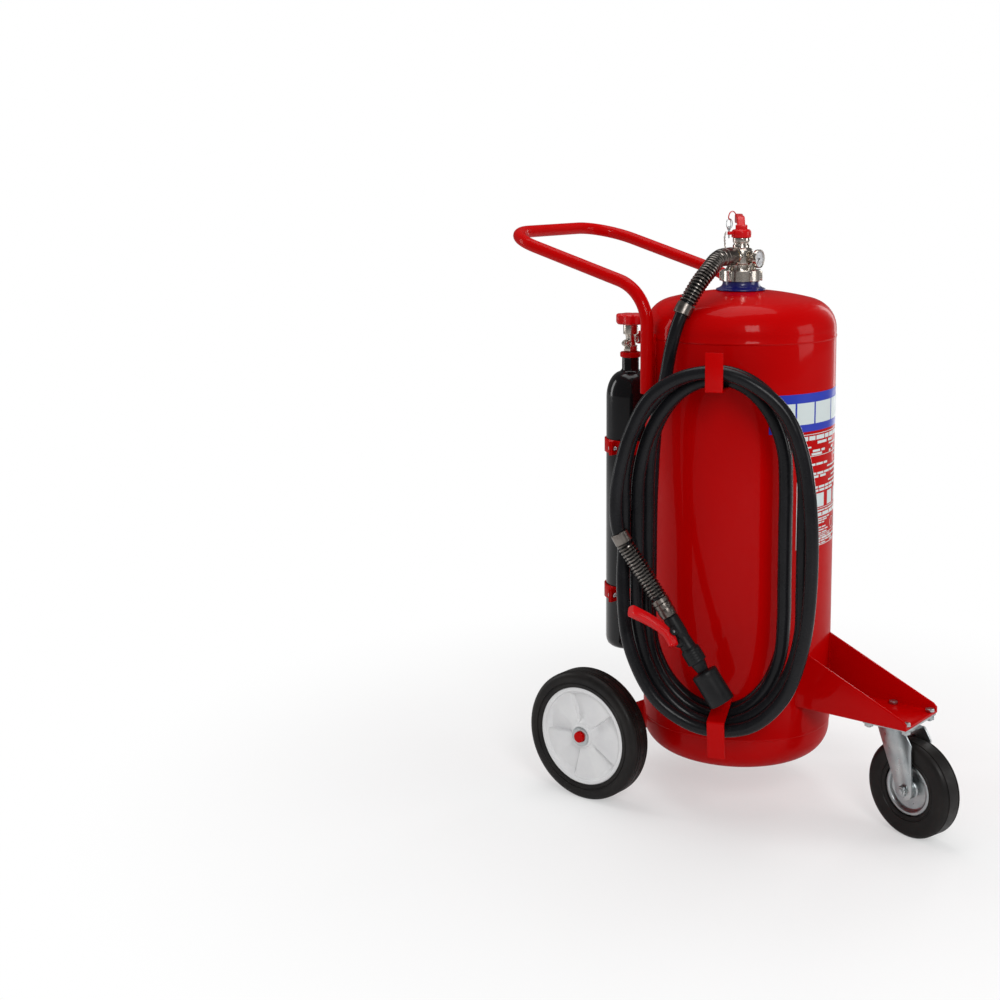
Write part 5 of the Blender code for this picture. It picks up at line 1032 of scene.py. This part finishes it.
# ---------------------------------------------------------------- nozzle
def nozzle():
    outward = Vector((-0.974, 0.050, -0.220))
    outward = (outward - NOZZLE_AXIS * outward.dot(NOZZLE_AXIS)).normalized()
    across = outward.cross(NOZZLE_AXIS)
    lay = Matrix.Translation(NOZZLE_START) @ Matrix((NOZZLE_AXIS, across, outward)).transposed().to_4x4()
    ferrule = [(0, -0.0003), (0.0160, -0.0003), (0.0168, -0.0012), (0.0168, -0.0060), (0.0175, -0.0066),
               (0.0175, -0.0165), (0.0168, -0.0172), (0.0168, -0.0196), (0.0175, -0.0202), (0.0175, -0.0290),
               (0.0168, -0.0299), (0, -0.0299)]
    piece("nozzle_hose_ferrule", turned(eased(ferrule, 0.0006, 2), NOZZLE_START, NOZZLE_AXIS, 48), SLEEVE,
          stands_for=("nozzle_ferrule",))
    body = [(0, 0.127), (0.0118, 0.127), (0.0122, 0.124), (0.0150, 0.112), (0.0155, 0.1075), (0.0196, 0.1060),
            (0.0200, 0.1045), (0.0196, 0.1015), (0.0200, 0.0985), (0.0196, 0.0955), (0.0200, 0.0925),
            (0.0196, 0.0895), (0.0200, 0.0865), (0.0196, 0.0835), (0.0200, 0.0805), (0.0194, 0.0775),
            (0.0157, 0.0735), (0.0150, 0.060), (0.0142, 0.048), (0.0157, 0.040), (0.0157, 0.004), (0.0137, 0.0),
            (0, 0.0)]
    parts = [turned(eased(body, 0.0008, 2), NOZZLE_START, NOZZLE_AXIS, 48)]
    for way in (-1, 1):
        low, high = sorted((way * 0.0063, way * 0.0103))
        outline = [(0.0185, -0.006), (0.0185, 0.020), (0.0205, 0.0265), (0.0245, 0.0293), (0.0310, 0.0293),
                   (0.0350, 0.0265), (0.0370, 0.020), (0.0390, -0.006)]
        put = lay @ Matrix.Translation((0, (low + high) / 2, 0)) @ Matrix.Rotation(math.pi / 2, 4, "X")
        parts.append(plate(outline, high - low, put, 0.0010, 2))
    lip = plate([(0.044, 0.008), (0.0475, 0.0205), (0.0600, 0.0215), (0.0640, 0.016), (0.066, 0.008)], 0.016,
                lay @ Matrix.Rotation(math.pi / 2, 4, "X"), 0.0016, 2)
    parts.append(lip)
    piece("nozzle_grip_body", gathered(*parts), PLASTIC_BLACK, stands_for=("nozzle_body",), smooth=40)
    barrel = [(0, 0.142), (0.0075, 0.142), (0.0090, 0.145), (0.0090, 0.170), (0.0130, 0.1985), (0.0180, 0.200),
              (0.0255, 0.200), (0.0270, 0.1975), (0.0266, 0.150), (0.0266, 0.1420), (0.0270, 0.1395), (0.0270, 0.1330),
              (0.0262, 0.1300), (0.0170, 0.1290), (0.0150, 0.1283), (0, 0.1283)]
    piece("nozzle_discharge_barrel", turned(eased(barrel, 0.0012, 2), NOZZLE_START, NOZZLE_AXIS, 56), PLASTIC_BLACK,
          stands_for=("nozzle_barrel",), smooth=40)

    pivot = lay @ Matrix.Translation((0.028, 0, 0.0225)) @ Matrix.Rotation(math.pi / 2, 4, "X")
    middle = [(0.0250, 0.0110), (0.0235, 0.0105), (0.012, 0.0075), (-0.006, 0.0085), (-0.022, 0.0160),
              (-0.038, 0.0265), (-0.054, 0.0385), (-0.068, 0.0505), (-0.080, 0.0610), (-0.0815, 0.0624)]
    depth = [0.0085, 0.0108, 0.0118, 0.0110, 0.0108, 0.0108, 0.0110, 0.0112, 0.0114, 0.0104]
    width = [0.0046, 0.0056, 0.0060, 0.0060, 0.0078, 0.0092, 0.0098, 0.0100, 0.0100, 0.0086]
    path = [pivot @ Vector((x, y, 0)) for x, y in middle]
    side = pivot.to_3x3() @ Vector((0, 0, 1))
    stations = [scaled(st, w, d) for st, w, d in zip(carried(path, side), width, depth)]
    arm = swept(stations, squircle(3.6, 28))
    piece("squeeze_lever", arm, LACQUER, "nozzle_lever", ("nozzle_lever",), 40)
    pin = refined("nozzle_pin", ZINC, 0.0004)
    spring_path = []
    for k in range(6 * 12 + 1):
        a = TAU * k / 12
        spring_path.append(pivot @ Vector((0.0046 * math.cos(a), 0.0046 * math.sin(a), 0.0108 + 0.0011 * k / 12)))
    return [pin, piece("lever_spring", swept(carried(spring_path), disc(0.00045, 6)), ZINC)]


nozzle_small_parts = nozzle()


# ---------------------------------------------------------------- floor and light
def floor():
    made = bpy.data.materials.new("pale floor")
    made.use_nodes = True
    tree = made.node_tree
    shader = tree.nodes["Principled BSDF"]
    shader.inputs["Roughness"].default_value = 0.8
    shader.inputs["Specular IOR Level"].default_value = 0.1
    where = wire(tree, "ShaderNodeTexCoord").outputs["Object"]
    cloud = wire(tree, "ShaderNodeTexNoise", Vector=where, Scale=1.2).outputs[0]
    tone = wire(tree, "ShaderNodeMix", {"data_type": "RGBA"}, i0=cloud, i6=(0.86, 0.86, 0.86, 1),
                i7=(0.90, 0.90, 0.90, 1)).outputs[2]
    tree.links.new(tone, shader.inputs["Base Color"])
    glow = wire(tree, "ShaderNodeEmission", Color=(1, 1, 1, 1), Strength=1.0).outputs[0]
    path = wire(tree, "ShaderNodeLightPath")
    far = wire(tree, "ShaderNodeVectorMath", {"operation": "LENGTH"}, i0=where).outputs["Value"]
    fade = wire(tree, "ShaderNodeMapRange", {"interpolation_type": "SMOOTHSTEP"}, i0=far, i1=0.6, i2=1.5, i3=0.45,
                i4=1.0).outputs[0]
    seen = path.outputs["Is Camera Ray"]
    share = wire(tree, "ShaderNodeMath", {"operation": "MULTIPLY"}, i0=seen, i1=fade).outputs[0]
    mixed = wire(tree, "ShaderNodeMixShader", i0=share, i1=shader.outputs[0], i2=glow).outputs[0]
    tree.links.new(mixed, tree.nodes["Material Output"].inputs["Surface"])
    bm = bmesh.new()
    bmesh.ops.create_grid(bm, x_segments=1, y_segments=1, size=14.0, matrix=Matrix.Translation((0, 0, -0.0004)))
    mesh = bpy.data.meshes.new("studio_floor")
    bm.to_mesh(mesh)
    bm.free()
    mesh.materials.append(made)
    ground = bpy.data.objects.new("studio_floor", mesh)
    bpy.context.scene.collection.objects.link(ground)


def lamp(name, place, target, size, power, tall=None):
    data = bpy.data.lights.new(name, "AREA")
    data.energy = power
    data.size = size
    if tall:
        data.shape = "RECTANGLE"
        data.size_y = tall
    made = bpy.data.objects.new(name, data)
    way = Vector(target) - Vector(place)
    made.matrix_world = Matrix.Translation(place) @ way.to_track_quat("-Z", "Y").to_matrix().to_4x4()
    bpy.context.scene.collection.objects.link(made)


def light():
    lamp("key", (-2.6, -2.6, 2.6), (0, 0, 0.6), 1.1, 62, 1.6)
    lamp("fill", (1.6, -3.6, 1.6), (0, 0, 0.6), 1.6, 30)
    lamp("top", (0.2, 0.4, 3.4), (0, 0, 0.4), 2.2, 40)
    lamp("left", (-1.2, 3.4, 1.6), (0, 0, 0.7), 0.7, 24, 2.2)
    lamp("edge", (3.2, 0.2, 1.2), (0, 0, 0.7), 0.5, 16, 2.2)
    world = bpy.data.worlds.new("studio")
    world.use_nodes = True
    bpy.context.scene.world = world
    tree = world.node_tree
    path = wire(tree, "ShaderNodeLightPath")
    mirrored = wire(tree, "ShaderNodeMapRange", i0=path.outputs["Is Glossy Ray"], i3=0.42, i4=0.14).outputs[0]
    seen = wire(tree, "ShaderNodeMath", {"operation": "MAXIMUM"}, i0=path.outputs["Is Camera Ray"],
                i1=path.outputs["Is Transmission Ray"]).outputs[0]
    strength = wire(tree, "ShaderNodeMix", i0=seen, i2=mirrored, i3=1.0).outputs[0]
    backdrop = tree.nodes["Background"]
    backdrop.inputs["Color"].default_value = (1, 1, 1, 1)
    tree.links.new(strength, backdrop.inputs["Strength"])


floor()
light()
bpy.context.scene.view_settings.view_transform = "Standard"
